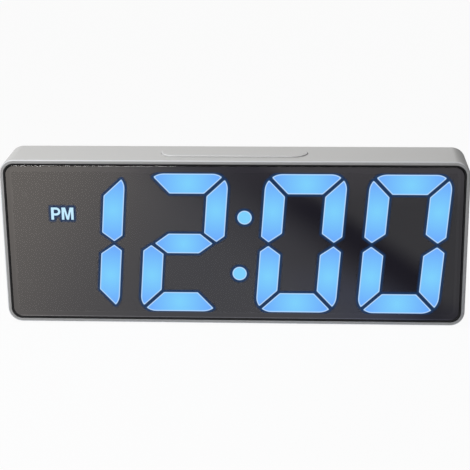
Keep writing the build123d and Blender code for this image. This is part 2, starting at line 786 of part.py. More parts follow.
# Back cover: wedge skin with lip, screw tubes, battery bay, button posts and inlet ribs
with BuildPart() as back_cover:
    with BuildSketch(face_plane(board_back)):
        with Locations(*post_places):
            Circle(tube_diameter / 2)
    extrude(amount=-overall_depth)
    with BuildSketch(back_face.offset(-cover_wall / 2)):
        with Locations((0, bay_middle)):
            Rectangle(bay_length + 2 * bay_wall, bay_height + 2 * bay_wall)
    extrude(amount=-(cover_wall / 2 + bay_depth + bay_wall))
    with BuildSketch(back_face.offset(-button_board_top)):
        with Locations(*button_posts):
            Circle(button_post_diameter / 2)
    extrude(amount=button_board_top - cover_wall / 2)
    with BuildSketch(back_face.offset(-cover_wall / 2)):
        with Locations(*[(-inlet_x + side * power_board_length / 2, power_board_up) for side in (-1, 1)]):
            Rectangle(2 * power_rib_thickness, power_rib_height)
    extrude(amount=-(cover_wall / 2 + power_board_depth / 2))
    add(cover_reach.part, mode=Mode.INTERSECT)
    add(cover_skin.part)
    with BuildSketch(face_plane(band_depth - lip_length)):
        RectangleRounded(lip_width, lip_height, lip_corner)
        RectangleRounded(
            lip_width - 2 * lip_wall, lip_height - 2 * lip_wall, lip_corner - lip_wall, mode=Mode.SUBTRACT
        )
    extrude(amount=-2 * lip_length)
    with BuildSketch(face_plane(board_back)):
        with Locations(*post_places):
            Circle(board_hole_diameter / 2)
    extrude(amount=-overall_depth, mode=Mode.SUBTRACT)
    with BuildSketch(face_plane(board_back + tube_floor)):
        with Locations(*post_places):
            Circle(tube_bore / 2)
    extrude(amount=-overall_depth, mode=Mode.SUBTRACT)
    with BuildSketch(back_face.offset(overrun)):
        with Locations((0, bay_middle)):
            Rectangle(bay_length, bay_height)
    extrude(amount=-(overrun + cover_wall + bay_depth), mode=Mode.SUBTRACT)
    bay_end = Plane(
        origin=back_point(-bay_length / 2, 0, -(cover_wall + bay_depth)),
        x_dir=back_face.y_dir,
        z_dir=(-1, 0, 0),
    )
    with BuildSketch(bay_end):
        for lower, upper in zip(cell_rows, cell_rows[1:]):
            middle = (lower + upper) / 2
            with BuildLine():
                Polyline(*[(middle + across, rise) for across, rise in ridge_outline], close=True)
            make_face()
    extrude(amount=bay_length)
    with BuildSketch(back_face.offset(overrun)):
        with Locations((0, bay_middle)):
            Rectangle(hole_width, hole_height)
        with Locations(*button_places):
            SlotOverall(button_length + 2 * slide_gap, button_width + 2 * slide_gap)
        with Locations((-inlet_x, inlet_height)):
            RectangleRounded(
                inlet_width + 2 * inlet_window_gap, inlet_thickness + 2 * inlet_window_gap, inlet_corner
            )
        with Locations((-buzzer_x, buzzer_rise)):
            Circle(sound_hole_diameter / 2)
            with PolarLocations(sound_hole_pitch, sound_hole_count):
                Circle(sound_hole_diameter / 2)
    extrude(amount=-(overrun + cover_wall), mode=Mode.SUBTRACT)
    with BuildSketch(back_face):
        with Locations((0, bay_middle + hole_height / 2)):
            Ellipse(thumb_width / 2, thumb_reach)
    extrude(amount=-thumb_depth, mode=Mode.SUBTRACT)
    with BuildSketch(back_face):
        with Locations((0, button_height)):
            RectangleRounded(recess_length, recess_height, recess_corner)
    extrude(amount=-recess_depth, mode=Mode.SUBTRACT)
    with BuildSketch(back_face.offset(-cover_wall)):
        with Locations(*[(side * tab_spacing / 2, bay_low_edge - bay_wall / 2) for side in (-1, 1)]):
            Rectangle(tab_width + 2 * slide_gap, bay_wall + 2 * slide_gap)
    extrude(amount=-tab_swing_room, mode=Mode.SUBTRACT)
    with BuildSketch(back_face.offset(-button_board_top)):
        with Locations(*button_posts):
            Circle(button_screw_core / 2 + screw_slack)
    extrude(amount=button_screw_grip + seat_gap, mode=Mode.SUBTRACT)
    with BuildSketch(back_face.offset(-cover_wall - power_board_setback)):
        with Locations((-inlet_x, power_board_up)):
            Rectangle(power_board_length + 2 * seat_gap, power_board_thickness + 2 * seat_gap)
    extrude(amount=-power_board_depth, mode=Mode.SUBTRACT)
    for side in (-1, 1):
        with BuildSketch(Plane(origin=(side * pad_x, front_y + rear_pad_depth, cover_bottom))):
            RectangleRounded(pad_length + 2 * seat_gap, pad_width + 2 * seat_gap, pad_corner)
        extrude(amount=pad_pocket, mode=Mode.SUBTRACT)
back_cover.part.label = "back_cover"
export_step(back_cover.part, "parts/back_cover.step")

# Screws that draw the cover and the display board onto the shell's posts
with BuildPart() as cover_screws:
    with BuildSketch(face_plane(board_back + tube_floor)):
        with Locations(*post_places):
            Circle(screw_head_diameter / 2)
    extrude(amount=-screw_head_height)
    with BuildSketch(face_plane(board_back + tube_floor)):
        with Locations(*post_places):
            Circle(screw_core_diameter / 2)
    extrude(amount=tube_floor + board_thickness + pilot_depth - overrun / 2)
    with BuildSketch(face_plane(board_back + tube_floor + screw_head_height)):
        with Locations(*post_places):
            Circle(screw_recess_diameter / 2)
    extrude(amount=screw_head_height / 2, mode=Mode.SUBTRACT)
cover_screws.part.label = "cover_screws"
export_step(cover_screws.part, "parts/cover_screws.step")

# Screws that hold the left end of the display board
with BuildPart() as display_board_screws:
    with BuildSketch(face_plane(board_back)):
        with Locations(*end_post_places):
            Circle(screw_head_diameter / 2)
    extrude(amount=-screw_head_height)
    with BuildSketch(face_plane(board_back)):
        with Locations(*end_post_places):
            Circle(screw_core_diameter / 2)
    extrude(amount=board_thickness + pilot_depth - overrun / 2)
    with BuildSketch(face_plane(board_back + screw_head_height)):
        with Locations(*end_post_places):
            Circle(screw_recess_diameter / 2)
    extrude(amount=screw_head_height / 2, mode=Mode.SUBTRACT)
display_board_screws.part.label = "display_board_screws"
export_step(display_board_screws.part, "parts/display_board_screws.step")

# Battery cells, laid head to tail in the bay
for index, up in enumerate(cell_rows):
    side = 1 if index % 2 == 0 else -1
    cell_end = Plane(
        origin=back_point(-side * cell_length / 2, up, cell_out), x_dir=(0, 0, 1), z_dir=(-side, 0, 0)
    )
    with BuildPart() as battery_cell:
        with BuildSketch(cell_end):
            Circle(cell_diameter / 2)
        extrude(amount=cell_length - cell_nub_length)
        chamfer(battery_cell.edges(), cell_edge)
        with BuildSketch(cell_end.offset(cell_length - cell_nub_length)):
            Circle(cell_nub_diameter / 2)
        extrude(amount=cell_nub_length)
    battery_cell.part.label = f"battery_cell_{index + 1}"
    export_step(battery_cell.part, f"parts/battery_cell_{index + 1}.step")

# Bowed metal contacts at both ends of every cell
with BuildPart() as battery_contacts:
    with BuildSketch(back_face.offset(cell_out - contact_width / 2)):
        for side in (-1, 1):
            for row in cell_rows:
                with BuildLine():
                    Polyline(
                        *[(side * (bay_length / 2 - reach), row + up) for reach, up in contact_outline],
                        close=True,
                    )
                make_face()
    extrude(amount=contact_width)
battery_contacts.part.label = "battery_contacts"
export_step(battery_contacts.part, "parts/battery_contacts.step")

# Battery door: a plate that swings on its lower edge, with two tabs and a sprung latch
with BuildPart() as battery_door:
    with BuildSketch(back_face.offset(-door_thickness)):
        with Locations((0, bay_middle)):
            Rectangle(door_width, door_height)
    extrude(amount=door_thickness)
    fillet(battery_door.edges().filter_by(Axis.X).sort_by(Axis.Z)[:2], door_thickness * hinge_round_share)
    with BuildSketch(back_face):
        with Locations((0, door_high_edge - door_grip_drop)):
            with GridLocations(0, door_grip_pitch, 1, door_grip_count):
                Rectangle(door_grip_length, door_grip_width)
    extrude(amount=-door_grip_depth, mode=Mode.SUBTRACT)
    with BuildSketch(back_face.offset(tab_top)):
        for side in (-1, 1):
            with Locations((side * tab_spacing / 2, door_low_edge + (tab_root - tab_reach) / 2)):
                Rectangle(tab_width, tab_root + tab_reach)
    extrude(amount=-tab_thickness)
    with BuildSketch(back_face.offset(tab_top)):
        for side in (-1, 1):
            with Locations((side * tab_spacing / 2, door_low_edge + tab_root - tab_heel / 2)):
                Rectangle(tab_width, tab_heel)
    extrude(amount=-door_thickness / 2 - tab_top)
    with BuildSketch(back_face.offset(-door_thickness)):
        with Locations((0, door_high_edge)):
            Rectangle(latch_width + 2 * slide_gap, 2 * latch_room)
    extrude(amount=door_thickness, mode=Mode.SUBTRACT)
    with BuildSketch(Plane.YZ.offset(-latch_width / 2)):
        with BuildLine():
            latch_points = [back_point(0, up, out) for up, out in latch_outline]
            Polyline(*[(point.Y, point.Z) for point in latch_points], close=True)
        make_face()
    extrude(amount=latch_width)
battery_door.part.label = "battery_door"
export_step(battery_door.part, "parts/battery_door.step")

# Five push buttons on the slope, each with the plunger of the switch behind it
for name, (across, up) in zip(button_names, button_places):
    with BuildPart() as button:
        with BuildSketch(back_face.offset(-cover_wall - seat_gap)):
            with Locations((across, up)):
                SlotOverall(button_length, button_width)
        extrude(amount=cover_wall + seat_gap + button_proud)
        chamfer(button.faces().filter_by(back_face).sort_by(Axis.Y)[-1].edges(), button_edge)
        with BuildSketch(back_face.offset(-cover_wall - seat_gap)):
            with Locations((across, up)):
                SlotOverall(button_length + 2 * button_flange_width, button_width + 2 * button_flange_width)
        extrude(amount=-button_flange)
        with BuildSketch(back_face.offset(-cover_wall - seat_gap - button_flange)):
            with Locations((across, up)):
                Circle(button_stem_diameter / 2)
        extrude(amount=-button_stem_length)
    button.part.label = f"{name}_button"
    export_step(button.part, f"parts/{name}_button.step")
    with BuildPart() as plunger:
        with BuildSketch(back_face.offset(-plunger_top)):
            with Locations((across, up)):
                Circle(plunger_diameter / 2)
        extrude(amount=-plunger_length)
    plunger.part.label = f"{name}_plunger"
    export_step(plunger.part, f"parts/{name}_plunger.step")

with BuildPart() as button_switches:
    with BuildSketch(back_face.offset(-switch_top)):
        with Locations(*button_places):
            Rectangle(switch_side, switch_side)
    extrude(amount=-switch_height)
    with BuildSketch(back_face.offset(-switch_top)):
        with Locations(*button_places):
            Circle(plunger_diameter / 2 + slide_gap)
    extrude(amount=-switch_bore_depth, mode=Mode.SUBTRACT)
button_switches.part.label = "button_switches"
export_step(button_switches.part, "parts/button_switches.step")

with BuildPart() as button_board:
    with BuildSketch(back_face.offset(-button_board_top)):
        with Locations((0, button_height)):
            Rectangle(button_board_length, button_board_height)
        with Locations(*button_posts):
            Circle(button_screw_core / 2 + seat_gap, mode=Mode.SUBTRACT)
    extrude(amount=-button_board_thickness)
button_board.part.label = "button_board"
export_step(button_board.part, "parts/button_board.step")

with BuildPart() as button_board_screws:
    with BuildSketch(back_face.offset(-button_board_top - button_board_thickness)):
        with Locations(*button_posts):
            Circle(button_screw_head / 2)
    extrude(amount=-button_screw_head_height)
    with BuildSketch(back_face.offset(-button_board_top - button_board_thickness)):
        with Locations(*button_posts):
            Circle(button_screw_core / 2)
    extrude(amount=button_board_thickness + button_screw_grip)
button_board_screws.part.label = "button_board_screws"
export_step(button_board_screws.part, "parts/button_board_screws.step")

# Snooze bar: a long cap in the slot on top, with a flange behind the board and a stem
with BuildPart() as snooze_bar:
    with BuildSketch(level_plane(snooze_depth, snooze_foot)):
        SlotOverall(snooze_length, snooze_width)
        with Locations((0, snooze_flange_front + snooze_width)):
            Rectangle(2 * snooze_length, 2 * snooze_width, mode=Mode.INTERSECT)
    extrude(amount=snooze_under - snooze_foot)
    with BuildSketch(level_plane(snooze_depth, snooze_foot)):
        SlotOverall(snooze_length + 2 * snooze_flange_width, snooze_width + 2 * snooze_flange_width)
        with Locations((0, snooze_flange_front + snooze_width)):
            Rectangle(2 * snooze_length, 2 * snooze_width, mode=Mode.INTERSECT)
    extrude(amount=snooze_flange)
    with BuildSketch(level_plane(snooze_depth, snooze_under)):
        SlotOverall(snooze_length, snooze_width)
    extrude(amount=snooze_thickness)
    fillet(snooze_bar.faces().sort_by(Axis.Z)[-1].edges(), snooze_edge)
    with BuildSketch(level_plane(snooze_switch_middle, snooze_foot)):
        Rectangle(snooze_stem_length, snooze_stem_width)
    extrude(amount=-snooze_stem_height)
snooze_bar.part.label = "snooze_bar"
export_step(snooze_bar.part, "parts/snooze_bar.step")

with BuildPart() as snooze_plunger:
    with BuildSketch(level_plane(snooze_switch_middle, snooze_plunger_top)):
        Rectangle(snooze_plunger_length, snooze_plunger_width)
    extrude(amount=-snooze_plunger_height)
snooze_plunger.part.label = "snooze_plunger"
export_step(snooze_plunger.part, "parts/snooze_plunger.step")

with BuildPart() as snooze_switch:
    with BuildSketch(level_plane(snooze_switch_middle, snooze_switch_top)):
        Rectangle(snooze_switch_length, snooze_switch_depth)
    extrude(amount=-snooze_switch_height)
    with BuildSketch(level_plane(snooze_switch_middle, snooze_switch_top)):
        Rectangle(snooze_plunger_length + 2 * slide_gap, snooze_plunger_width + 2 * slide_gap)
    extrude(amount=-snooze_bore_depth, mode=Mode.SUBTRACT)
snooze_switch.part.label = "snooze_switch"
export_step(snooze_switch.part, "parts/snooze_switch.step")

# Power inlet: a folded metal socket with its tongue, on a small board held in two ribs
with BuildPart() as power_inlet:
    with BuildSketch(back_face.offset(-inlet_recess)):
        with Locations((-inlet_x, inlet_height)):
            RectangleRounded(inlet_width, inlet_thickness, inlet_corner)
    extrude(amount=-inlet_length)
    with BuildSketch(back_face.offset(-inlet_recess)):
        with Locations((-inlet_x, inlet_height)):
            RectangleRounded(
                inlet_width - 2 * inlet_wall, inlet_thickness - 2 * inlet_wall, inlet_corner - inlet_wall / 2
            )
    extrude(amount=-(inlet_length - 2 * inlet_wall), mode=Mode.SUBTRACT)
    with BuildSketch(back_face.offset(-2 * inlet_recess)):
        with Locations((-inlet_x, inlet_height)):
            Rectangle(inlet_tongue_width, inlet_tongue_thickness)
    extrude(amount=-(inlet_length - 2 * inlet_recess))
power_inlet.part.label = "power_inlet"
export_step(power_inlet.part, "parts/power_inlet.step")

with BuildPart() as power_board:
    with BuildSketch(back_face.offset(-cover_wall - power_board_setback)):
        with Locations((-inlet_x, power_board_up)):
            Rectangle(power_board_length, power_board_thickness)
    extrude(amount=-(power_board_depth - seat_gap))
power_board.part.label = "power_board"
export_step(power_board.part, "parts/power_board.step")

# Flat cable from the display board to the button board
with BuildPart() as ribbon_cable:
    with BuildSketch(Plane.YZ.offset(ribbon_x - ribbon_width / 2)):
        with BuildLine():
            route = FilletPolyline(*ribbon_route, radius=ribbon_lead * ribbon_bend_share)
        trace(route, line_width=ribbon_thickness)
    extrude(amount=ribbon_width)
ribbon_cable.part.label = "ribbon_cable"
export_step(ribbon_cable.part, "parts/ribbon_cable.step")

# Rubber pads, stuck in shallow pockets under the shell and the cover
with BuildPart() as rubber_pads:
    for depth, underside in ((front_pad_depth, pad_proud), (rear_pad_depth, cover_bottom)):
        for side in (-1, 1):
            with BuildSketch(Plane(origin=(side * pad_x, front_y + depth, 0))):
                RectangleRounded(pad_length, pad_width, pad_corner)
            extrude(amount=underside + pad_pocket)
    chamfer(rubber_pads.faces().group_by(Axis.Z)[0].edges(), pad_edge)
rubber_pads.part.label = "rubber_pads"
export_step(rubber_pads.part, "parts/rubber_pads.step")
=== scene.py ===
import logging
import math
from dataclasses import dataclass, field
from enum import Enum
from typing import ClassVar

import bmesh
import bpy
import numpy as np
from mathutils import Matrix, Vector


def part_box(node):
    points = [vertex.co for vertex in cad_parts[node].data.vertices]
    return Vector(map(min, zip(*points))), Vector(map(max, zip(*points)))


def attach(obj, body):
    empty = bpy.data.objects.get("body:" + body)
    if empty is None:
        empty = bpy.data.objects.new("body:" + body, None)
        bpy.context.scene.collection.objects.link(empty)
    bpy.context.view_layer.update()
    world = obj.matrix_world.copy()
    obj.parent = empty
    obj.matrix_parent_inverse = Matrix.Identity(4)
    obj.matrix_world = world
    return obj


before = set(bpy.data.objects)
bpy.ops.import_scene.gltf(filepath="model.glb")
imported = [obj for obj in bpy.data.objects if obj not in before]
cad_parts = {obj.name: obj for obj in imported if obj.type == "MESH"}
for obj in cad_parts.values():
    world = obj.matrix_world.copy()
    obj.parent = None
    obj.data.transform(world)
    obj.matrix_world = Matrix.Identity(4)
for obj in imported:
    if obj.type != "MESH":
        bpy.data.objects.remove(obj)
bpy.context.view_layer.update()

# Lengths and places are in metres, unless a docstring says otherwise
MM = 0.001
FACE_CORNER = 5.0 * MM
LENS_CORNER = 3.5 * MM
WELD_GAP = 0.002 * MM
FRONT_NORMAL = -0.9
# Side of the photograph in pixels, and width of the camera's sensor in millimetres
PHOTO_SIDE = 470
SENSOR_WIDTH = 36.0
Colour = tuple[float, float, float]
Stretch = tuple[float, float, float]
Point = tuple[float, float]
# Where a smooth step starts and where it ends
Span = tuple[float, float]
BLACK: Colour = (0.0, 0.0, 0.0)
WHITE: Colour = (1.0, 1.0, 1.0)
EVEN: Stretch = (1.0, 1.0, 1.0)
log = logging.getLogger("desk_clock")


class Wire:
    """A number on its way through a material, on which Python's operators add Math nodes."""

    def __init__(self, graph: "NodeTree", socket: bpy.types.NodeSocket) -> None:
        """Wrap an output socket of a graph's node."""
        self.graph = graph
        self.socket = socket

    def maths(self, operation: str, *terms: "Wire | float", clamp: bool = False) -> "Wire":
        """Add a Math node.

        Args:
            operation: The node's operation.
            terms: Its values, in order.
            clamp: Whether the result is kept between 0 and 1.

        Returns:
            The result as a wire.
        """
        settings = {"operation": operation, "use_clamp": clamp}
        node = self.graph.node("ShaderNodeMath", settings, dict(enumerate(terms)))
        return Wire(self.graph, node.outputs[0])

    def maths_of(self, operation: str) -> "Wire":
        """The number after an operation that takes no other."""
        return self.maths(operation, self)

    def __add__(self, other: "Wire | float") -> "Wire":
        """Sum of two numbers."""
        return self.maths("ADD", self, other)

    def __radd__(self, other: float) -> "Wire":
        """Sum with a plain number on the left."""
        return self.maths("ADD", other, self)

    def __sub__(self, other: "Wire | float") -> "Wire":
        """Difference of two numbers."""
        return self.maths("SUBTRACT", self, other)

    def __rsub__(self, other: float) -> "Wire":
        """Difference from a plain number on the left."""
        return self.maths("SUBTRACT", other, self)

    def __mul__(self, other: "Wire | float") -> "Wire":
        """Product of two numbers."""
        return self.maths("MULTIPLY", self, other)

    def __rmul__(self, other: float) -> "Wire":
        """Product with a plain number on the left."""
        return self.maths("MULTIPLY", other, self)

    def __pow__(self, other: float) -> "Wire":
        """Power of a number."""
        return self.maths("POWER", self, other)

    def clamped(self) -> "Wire":
        """The number kept between 0 and 1."""
        return self.maths("ADD", self, 0.0, clamp=True)

    def above(self, low: float, high: float) -> "Wire":
        """Add a smooth step.

        Args:
            low: The value up to which the step is 0.
            high: The value from which it is 1.

        Returns:
            The step as a wire.
        """
        settings = {"interpolation_type": "SMOOTHSTEP"}
        ends = {"Value": self, "From Min": low, "From Max": high}
        return Wire(self.graph, self.graph.node("ShaderNodeMapRange", settings, ends).outputs[0])

    def swing(self, reach: float) -> "Wire":
        """A number from 0 to 1 as a shift about zero, half the reach to either side."""
        return (self - 0.5) * reach


Feed = Wire | bpy.types.NodeSocket | float | tuple


class NodeTree:
    """Any node tree, of a material or of the world."""

    def __init__(self, tree: bpy.types.NodeTree) -> None:
        """Take over a tree."""
        self.tree = tree

    def feed(self, socket: bpy.types.NodeSocket, value: Feed) -> None:
        """Give a socket its value or link.

        Args:
            socket: The input socket.
            value: A wire, an output socket, a number, or a tuple for a colour or vector.
        """
        if isinstance(value, Wire):
            self.tree.links.new(value.socket, socket)
        elif isinstance(value, bpy.types.NodeSocket):
            self.tree.links.new(value, socket)
        elif socket.type == "RGBA":
            socket.default_value = (*value[:3], 1.0)
        else:
            socket.default_value = value

    def node(self, kind: str, settings: dict | None = None, inputs: dict | None = None) -> bpy.types.Node:
        """Add any node.

        Args:
            kind: The node's type.
            settings: Its own settings, set first.
            inputs: Values or links of its sockets, by name or number.

        Returns:
            The new node.
        """
        node = self.tree.nodes.new(kind)
        for name, value in (settings or {}).items():
            setattr(node, name, value)
        for name, value in (inputs or {}).items():
            self.feed(node.inputs[name], value)
        return node

    def seen(self) -> Wire:
        """Tell the rays that should find a white surround.

        Returns:
            A wire that is 1 for rays from the lens, a mirror or glass, and 0 for others.
        """
        path = self.node("ShaderNodeLightPath")
        names = ("Is Camera Ray", "Is Glossy Ray", "Is Transmission Ray")
        lens, mirror, glass = (Wire(self, path.outputs[name]) for name in names)
        return (lens + mirror + glass).clamped()


class Graph(NodeTree):
    """The node tree of one material, which ends in its Principled surface unless show is called."""

    def __init__(self, name: str) -> None:
        """Start an empty material.

        Args:
            name: Its name, without the ending that all materials get.
        """
        self.material = bpy.data.materials.new(name + "_finish")
        self.material.use_nodes = True
        super().__init__(self.material.node_tree)
        self.surface = self.tree.nodes["Principled BSDF"]
        self.output = self.tree.nodes["Material Output"]

    def finish(self, **inputs: Feed) -> bpy.types.Material:
        """Feed the surface's sockets.

        Args:
            inputs: A value or link for each socket, named with underscores for blanks.

        Returns:
            The finished material.
        """
        for name, value in inputs.items():
            self.feed(self.surface.inputs[name.replace("_", " ")], value)
        return self.material

    def place(self, stretch: Stretch = EVEN) -> bpy.types.NodeSocket:
        """Add the place on the object.

        Args:
            stretch: What each of its coordinates is multiplied by.

        Returns:
            A vector in metres.
        """
        here = self.node("ShaderNodeTexCoord").outputs["Object"]
        if stretch == EVEN:
            return here
        return self.node("ShaderNodeMapping", None, {"Vector": here, "Scale": stretch}).outputs[0]

    def along(self, axis: int, source: str = "Object") -> Wire:
        """One coordinate of the place, or of the normal, on the object."""
        here = self.node("ShaderNodeTexCoord").outputs[source]
        return Wire(self, self.node("ShaderNodeSeparateXYZ", None, {0: here}).outputs[axis])

    def facing(self) -> Wire:
        """How squarely the surface faces forward: 1 on a front, 0 on a side."""
        return self.along(1, "Normal") * -1.0

    def depth(self, node: str, corner: float) -> Wire:
        """How deep a place lies within a part's outline, as seen from the front.

        Args:
            node: The CAD node, whose outline is a rectangle with round corners.
            corner: Their radius in metres.

        Returns:
            A wire in metres, which stops growing a corner's radius inside the outline.
        """
        low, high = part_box(node)
        squares = []
        for axis in (0, 2):
            away = (self.along(axis) - (low[axis] + high[axis]) / 2).maths_of("ABSOLUTE")
            past = away - ((high[axis] - low[axis]) / 2 - corner)
            squares.append(past.maths("MAXIMUM", past, 0.0) ** 2.0)
        return corner - (squares[0] + squares[1]) ** 0.5

    def met_from_within(self) -> Wire:
        """1 where a ray meets the surface from its inner side."""
        return Wire(self, self.node("ShaderNodeNewGeometry").outputs["Backfacing"])

    def noise(self, size: float, detail: float = 2.0, stretch: Stretch = EVEN) -> Wire:
        """Soft noise about 0.5, with patches of a size in millimetres, finer layers and a stretch."""
        inputs = {"Vector": self.place(stretch), "Scale": 1 / (size * MM), "Detail": detail}
        return Wire(self, self.node("ShaderNodeTexNoise", None, inputs).outputs[0])

    def cells(self, size: float) -> Wire:
        """Distance to the nearest middle of scattered cells of a size in millimetres."""
        inputs = {"Vector": self.place(), "Scale": 1 / (size * MM)}
        return Wire(self, self.node("ShaderNodeTexVoronoi", None, inputs).outputs[0])

    def mixed(self, factor: Feed, first: Feed, second: Feed) -> bpy.types.NodeSocket:
        """Colour between a first and a second one, by the sockets of the mix that are for colours."""
        inputs = {0: factor, 6: first, 7: second}
        return self.node("ShaderNodeMix", {"data_type": "RGBA"}, inputs).outputs[2]

    def glow(self, colour: Feed) -> bpy.types.NodeSocket:
        """Shader that shines with a colour at strength 1."""
        return self.node("ShaderNodeEmission", None, {"Color": colour, "Strength": 1.0}).outputs[0]

    def show(self, shader: bpy.types.NodeSocket) -> None:
        """End the material in a shader other than its Principled surface."""
        self.feed(self.output.inputs[0], shader)

    def tinted(self, colour: Colour, tone: Wire, spread: float) -> bpy.types.NodeSocket:
        """Let a colour turn from darker to lighter.

        Args:
            colour: The colour in the middle.
            tone: A wire from 0 where it is darkest to 1 where it is lightest.
            spread: The share by which it changes to either side.

        Returns:
            The colour's socket.
        """
        darker = tuple(channel * (1 - spread) for channel in colour)
        lighter = tuple(channel * (1 + spread) for channel in colour)
        return self.mixed(tone, darker, lighter)

    def bump(self, height: Wire, depth: float) -> bpy.types.NodeSocket:
        """Relief of a depth in millimetres, as a normal."""
        inputs = {"Strength": 1.0, "Distance": depth * MM, "Height": height}
        return self.node("ShaderNodeBump", None, inputs).outputs[0]


@dataclass(frozen=True)
class MouldedPlastic:
    """Injection-moulded plastic with the fine grain of a spark-eroded mould.

    The widths of its grain and clouds and the depth of its relief are in millimetres.
    """

    name: str
    colour: Colour
    roughness: float = 0.5
    spread: float = 0.04
    grain: float = 0.35
    relief: float = 0.012
    cloud: float = 28.0
    coat: float = 0.0
    coat_roughness: float = 0.2
    grain_gloss: float = 0.16
    cloud_gloss: float = 0.1
    cloud_share: float = 0.6
    pit_width: float = 1.6
    grain_height: float = 0.7
    pit_height: float = 0.5

    def build(self) -> bpy.types.Material:
        """Make the material.

        Returns:
            The finished material.
        """
        graph = Graph(self.name)
        cloud = graph.noise(self.cloud, detail=3.0)
        grain = graph.noise(self.grain, detail=3.0)
        pits = graph.cells(self.grain * self.pit_width)
        tone = (cloud * self.cloud_share + grain * (1 - self.cloud_share)).clamped()
        return graph.finish(
            Base_Color=self.skin(graph, graph.tinted(self.colour, tone, self.spread)),
            Roughness=self.roughness + grain.swing(self.grain_gloss) + cloud.swing(self.cloud_gloss),
            Normal=graph.bump(grain * self.grain_height + pits * self.pit_height, self.relief),
            Coat_Weight=self.coat,
            Coat_Roughness=self.coat_roughness,
        )

    def skin(self, graph: Graph, colour: bpy.types.NodeSocket) -> bpy.types.NodeSocket:
        """Colour of the skin: the plastic's own, if nothing is laid over it."""
        return colour


@dataclass(frozen=True)
class EdgedPlastic(MouldedPlastic):
    """Moulded plastic with a level top and a painted highlight on its sides, where it turns down."""

    # Painted highlight: a pale colour on the sides that turn down from the level top
    painted_highlight: Colour = (0.93, 0.93, 0.94)
    level: Span = (0.80, 0.97)

    def skin(self, graph: Graph, colour: bpy.types.NodeSocket) -> bpy.types.NodeSocket:
        """Colour of the skin: the plastic's own on the top, and a painted highlight where it turns down."""
        return graph.mixed(graph.along(2, "Normal").above(*self.level), self.painted_highlight, colour)


@dataclass(frozen=True)
class LinedPlastic(MouldedPlastic):
    """Moulded plastic with a painted highlight on its front edge, painted black inside so that no light leaks
    through; the black also paints shade on the rim's inner wall in the gap round the lens.
    """

    # Black lining inside; where it covers the rim's inner wall it also paints shade in the gap round the lens
    black_lining_and_shade: Colour = (0.010, 0.010, 0.011)
    # Painted highlight on the front edge, left off where the edge turns to the right
    painted_highlight: Colour = (0.86, 0.87, 0.90)
    # Deep enough that the rim's inner wall in the gap round the lens is painted dark as shade
    depth: float = 1.26 * MM
    blur: float = 0.06 * MM
    turned: Span = (0.2, 0.4)
    level: Span = (0.85, 0.97)
    highlight_off_rightward: Span = (0.2, 0.5)

    def skin(self, graph: Graph, colour: bpy.types.NodeSocket) -> bpy.types.NodeSocket:
        """Colour of the skin.

        Args:
            graph: The material's graph.
            colour: The plastic's own colour.

        Returns:
            The own colour outside, a painted highlight where the front edge turns except at the right, and
            the black lining, which also paints shade in the gap round the lens, where a place lies deep
            enough.
        """
        facing = graph.facing()
        # Painted highlight where the front edge turns from front to top, not on the right
        edge = facing.above(*self.turned) * (1 - facing.above(*self.level))
        edge = edge * (1 - graph.along(0, "Normal").above(*self.highlight_off_rightward))
        # Black lining, which also paints shade on the rim's inner wall in the gap round the lens
        inside = graph.depth("front_shell", FACE_CORNER).above(self.depth - self.blur, self.depth)
        return graph.mixed(inside, graph.mixed(edge, colour, self.painted_highlight), self.black_lining_and_shade)


@dataclass(frozen=True)
class HalfMirror:
    """Clear acrylic, half-silvered on its back and round its rim, that the display shines through.

    A painted highlight runs along its foot as a light line. The widths of its clouds, smudges and dust are in
    millimetres.
    """

    name: str = "mirror_lens"
    colour: Colour = (0.150, 0.148, 0.147)
    cover: float = 0.88
    bevel: float = 0.28
    clear: float = 0.02
    rim: float = 2.40 * MM
    blur: float = 0.1 * MM
    coat_gap: float = 0.1 * MM
    level: Span = (0.8, 0.95)
    # Painted highlight: a lighter colour along the lens's foot, standing for its lower edge catching light
    painted_foot_highlight: Colour = (0.285, 0.283, 0.283)
    painted_highlight_height: float = 0.65 * MM
    cloud: float = 40.0
    spread: float = 0.05
    roughness: float = 0.02
    smudge: float = 0.04
    smudge_width: float = 22.0
    smudge_edge: Span = (0.52, 0.75)
    dust: float = 0.3
    dust_pitch: float = 3.2
    dust_edge: Span = (0.02, 0.05)

    def build(self) -> bpy.types.Material:
        """Make the material.

        Returns:
            The finished material.
        """
        graph = Graph(self.name)
        low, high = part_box("mirror_lens")
        coat = high.y - self.coat_gap
        back = graph.along(1).above(coat - self.blur, coat)
        inner = graph.depth("mirror_lens", LENS_CORNER).above(self.rim - self.blur, self.rim)
        flat = graph.facing().above(*self.level)
        border = (1 - inner) * (1 - graph.met_from_within())
        front = border * (self.bevel + flat * (self.cover - self.bevel))
        smudge = graph.noise(self.smudge_width, detail=4.0).above(*self.smudge_edge)
        dust = 1 - graph.cells(self.dust_pitch).above(*self.dust_edge)
        up = graph.along(2) - low.z
        # Mask of the painted highlight along the lens's foot
        painted_foot_highlight = 1 - up.above(self.painted_highlight_height - self.blur, self.painted_highlight_height)
        tone = graph.tinted(self.colour, graph.noise(self.cloud), self.spread)
        return graph.finish(
            Base_Color=graph.mixed(painted_foot_highlight, tone, self.painted_foot_highlight),
            Metallic=1.0,
            Roughness=self.roughness + smudge * self.smudge + dust * self.dust,
            Alpha=(self.clear + back * self.cover + (1 - back) * front).clamped(),
        )


@dataclass(frozen=True)
class SoftRubber:
    """Black gasket rubber with a fine dusty bloom; its pores and bloom are in millimetres."""

    name: str = "black_gasket"
    colour: Colour = (0.010, 0.010, 0.011)
    spread: float = 0.3
    roughness: float = 0.8
    pore: float = 0.25
    pore_edge: Span = (0.1, 0.5)
    pore_depth: float = 0.02
    bloom: float = 2.0
    bloom_gloss: float = 0.2

    def build(self) -> bpy.types.Material:
        """Make the material.

        Returns:
            The finished material.
        """
        graph = Graph(self.name)
        pores = graph.cells(self.pore).above(*self.pore_edge)
        return graph.finish(
            Base_Color=graph.tinted(self.colour, pores, self.spread),
            Roughness=self.roughness + graph.noise(self.bloom).swing(self.bloom_gloss),
            Normal=graph.bump(pores, self.pore_depth),
        )


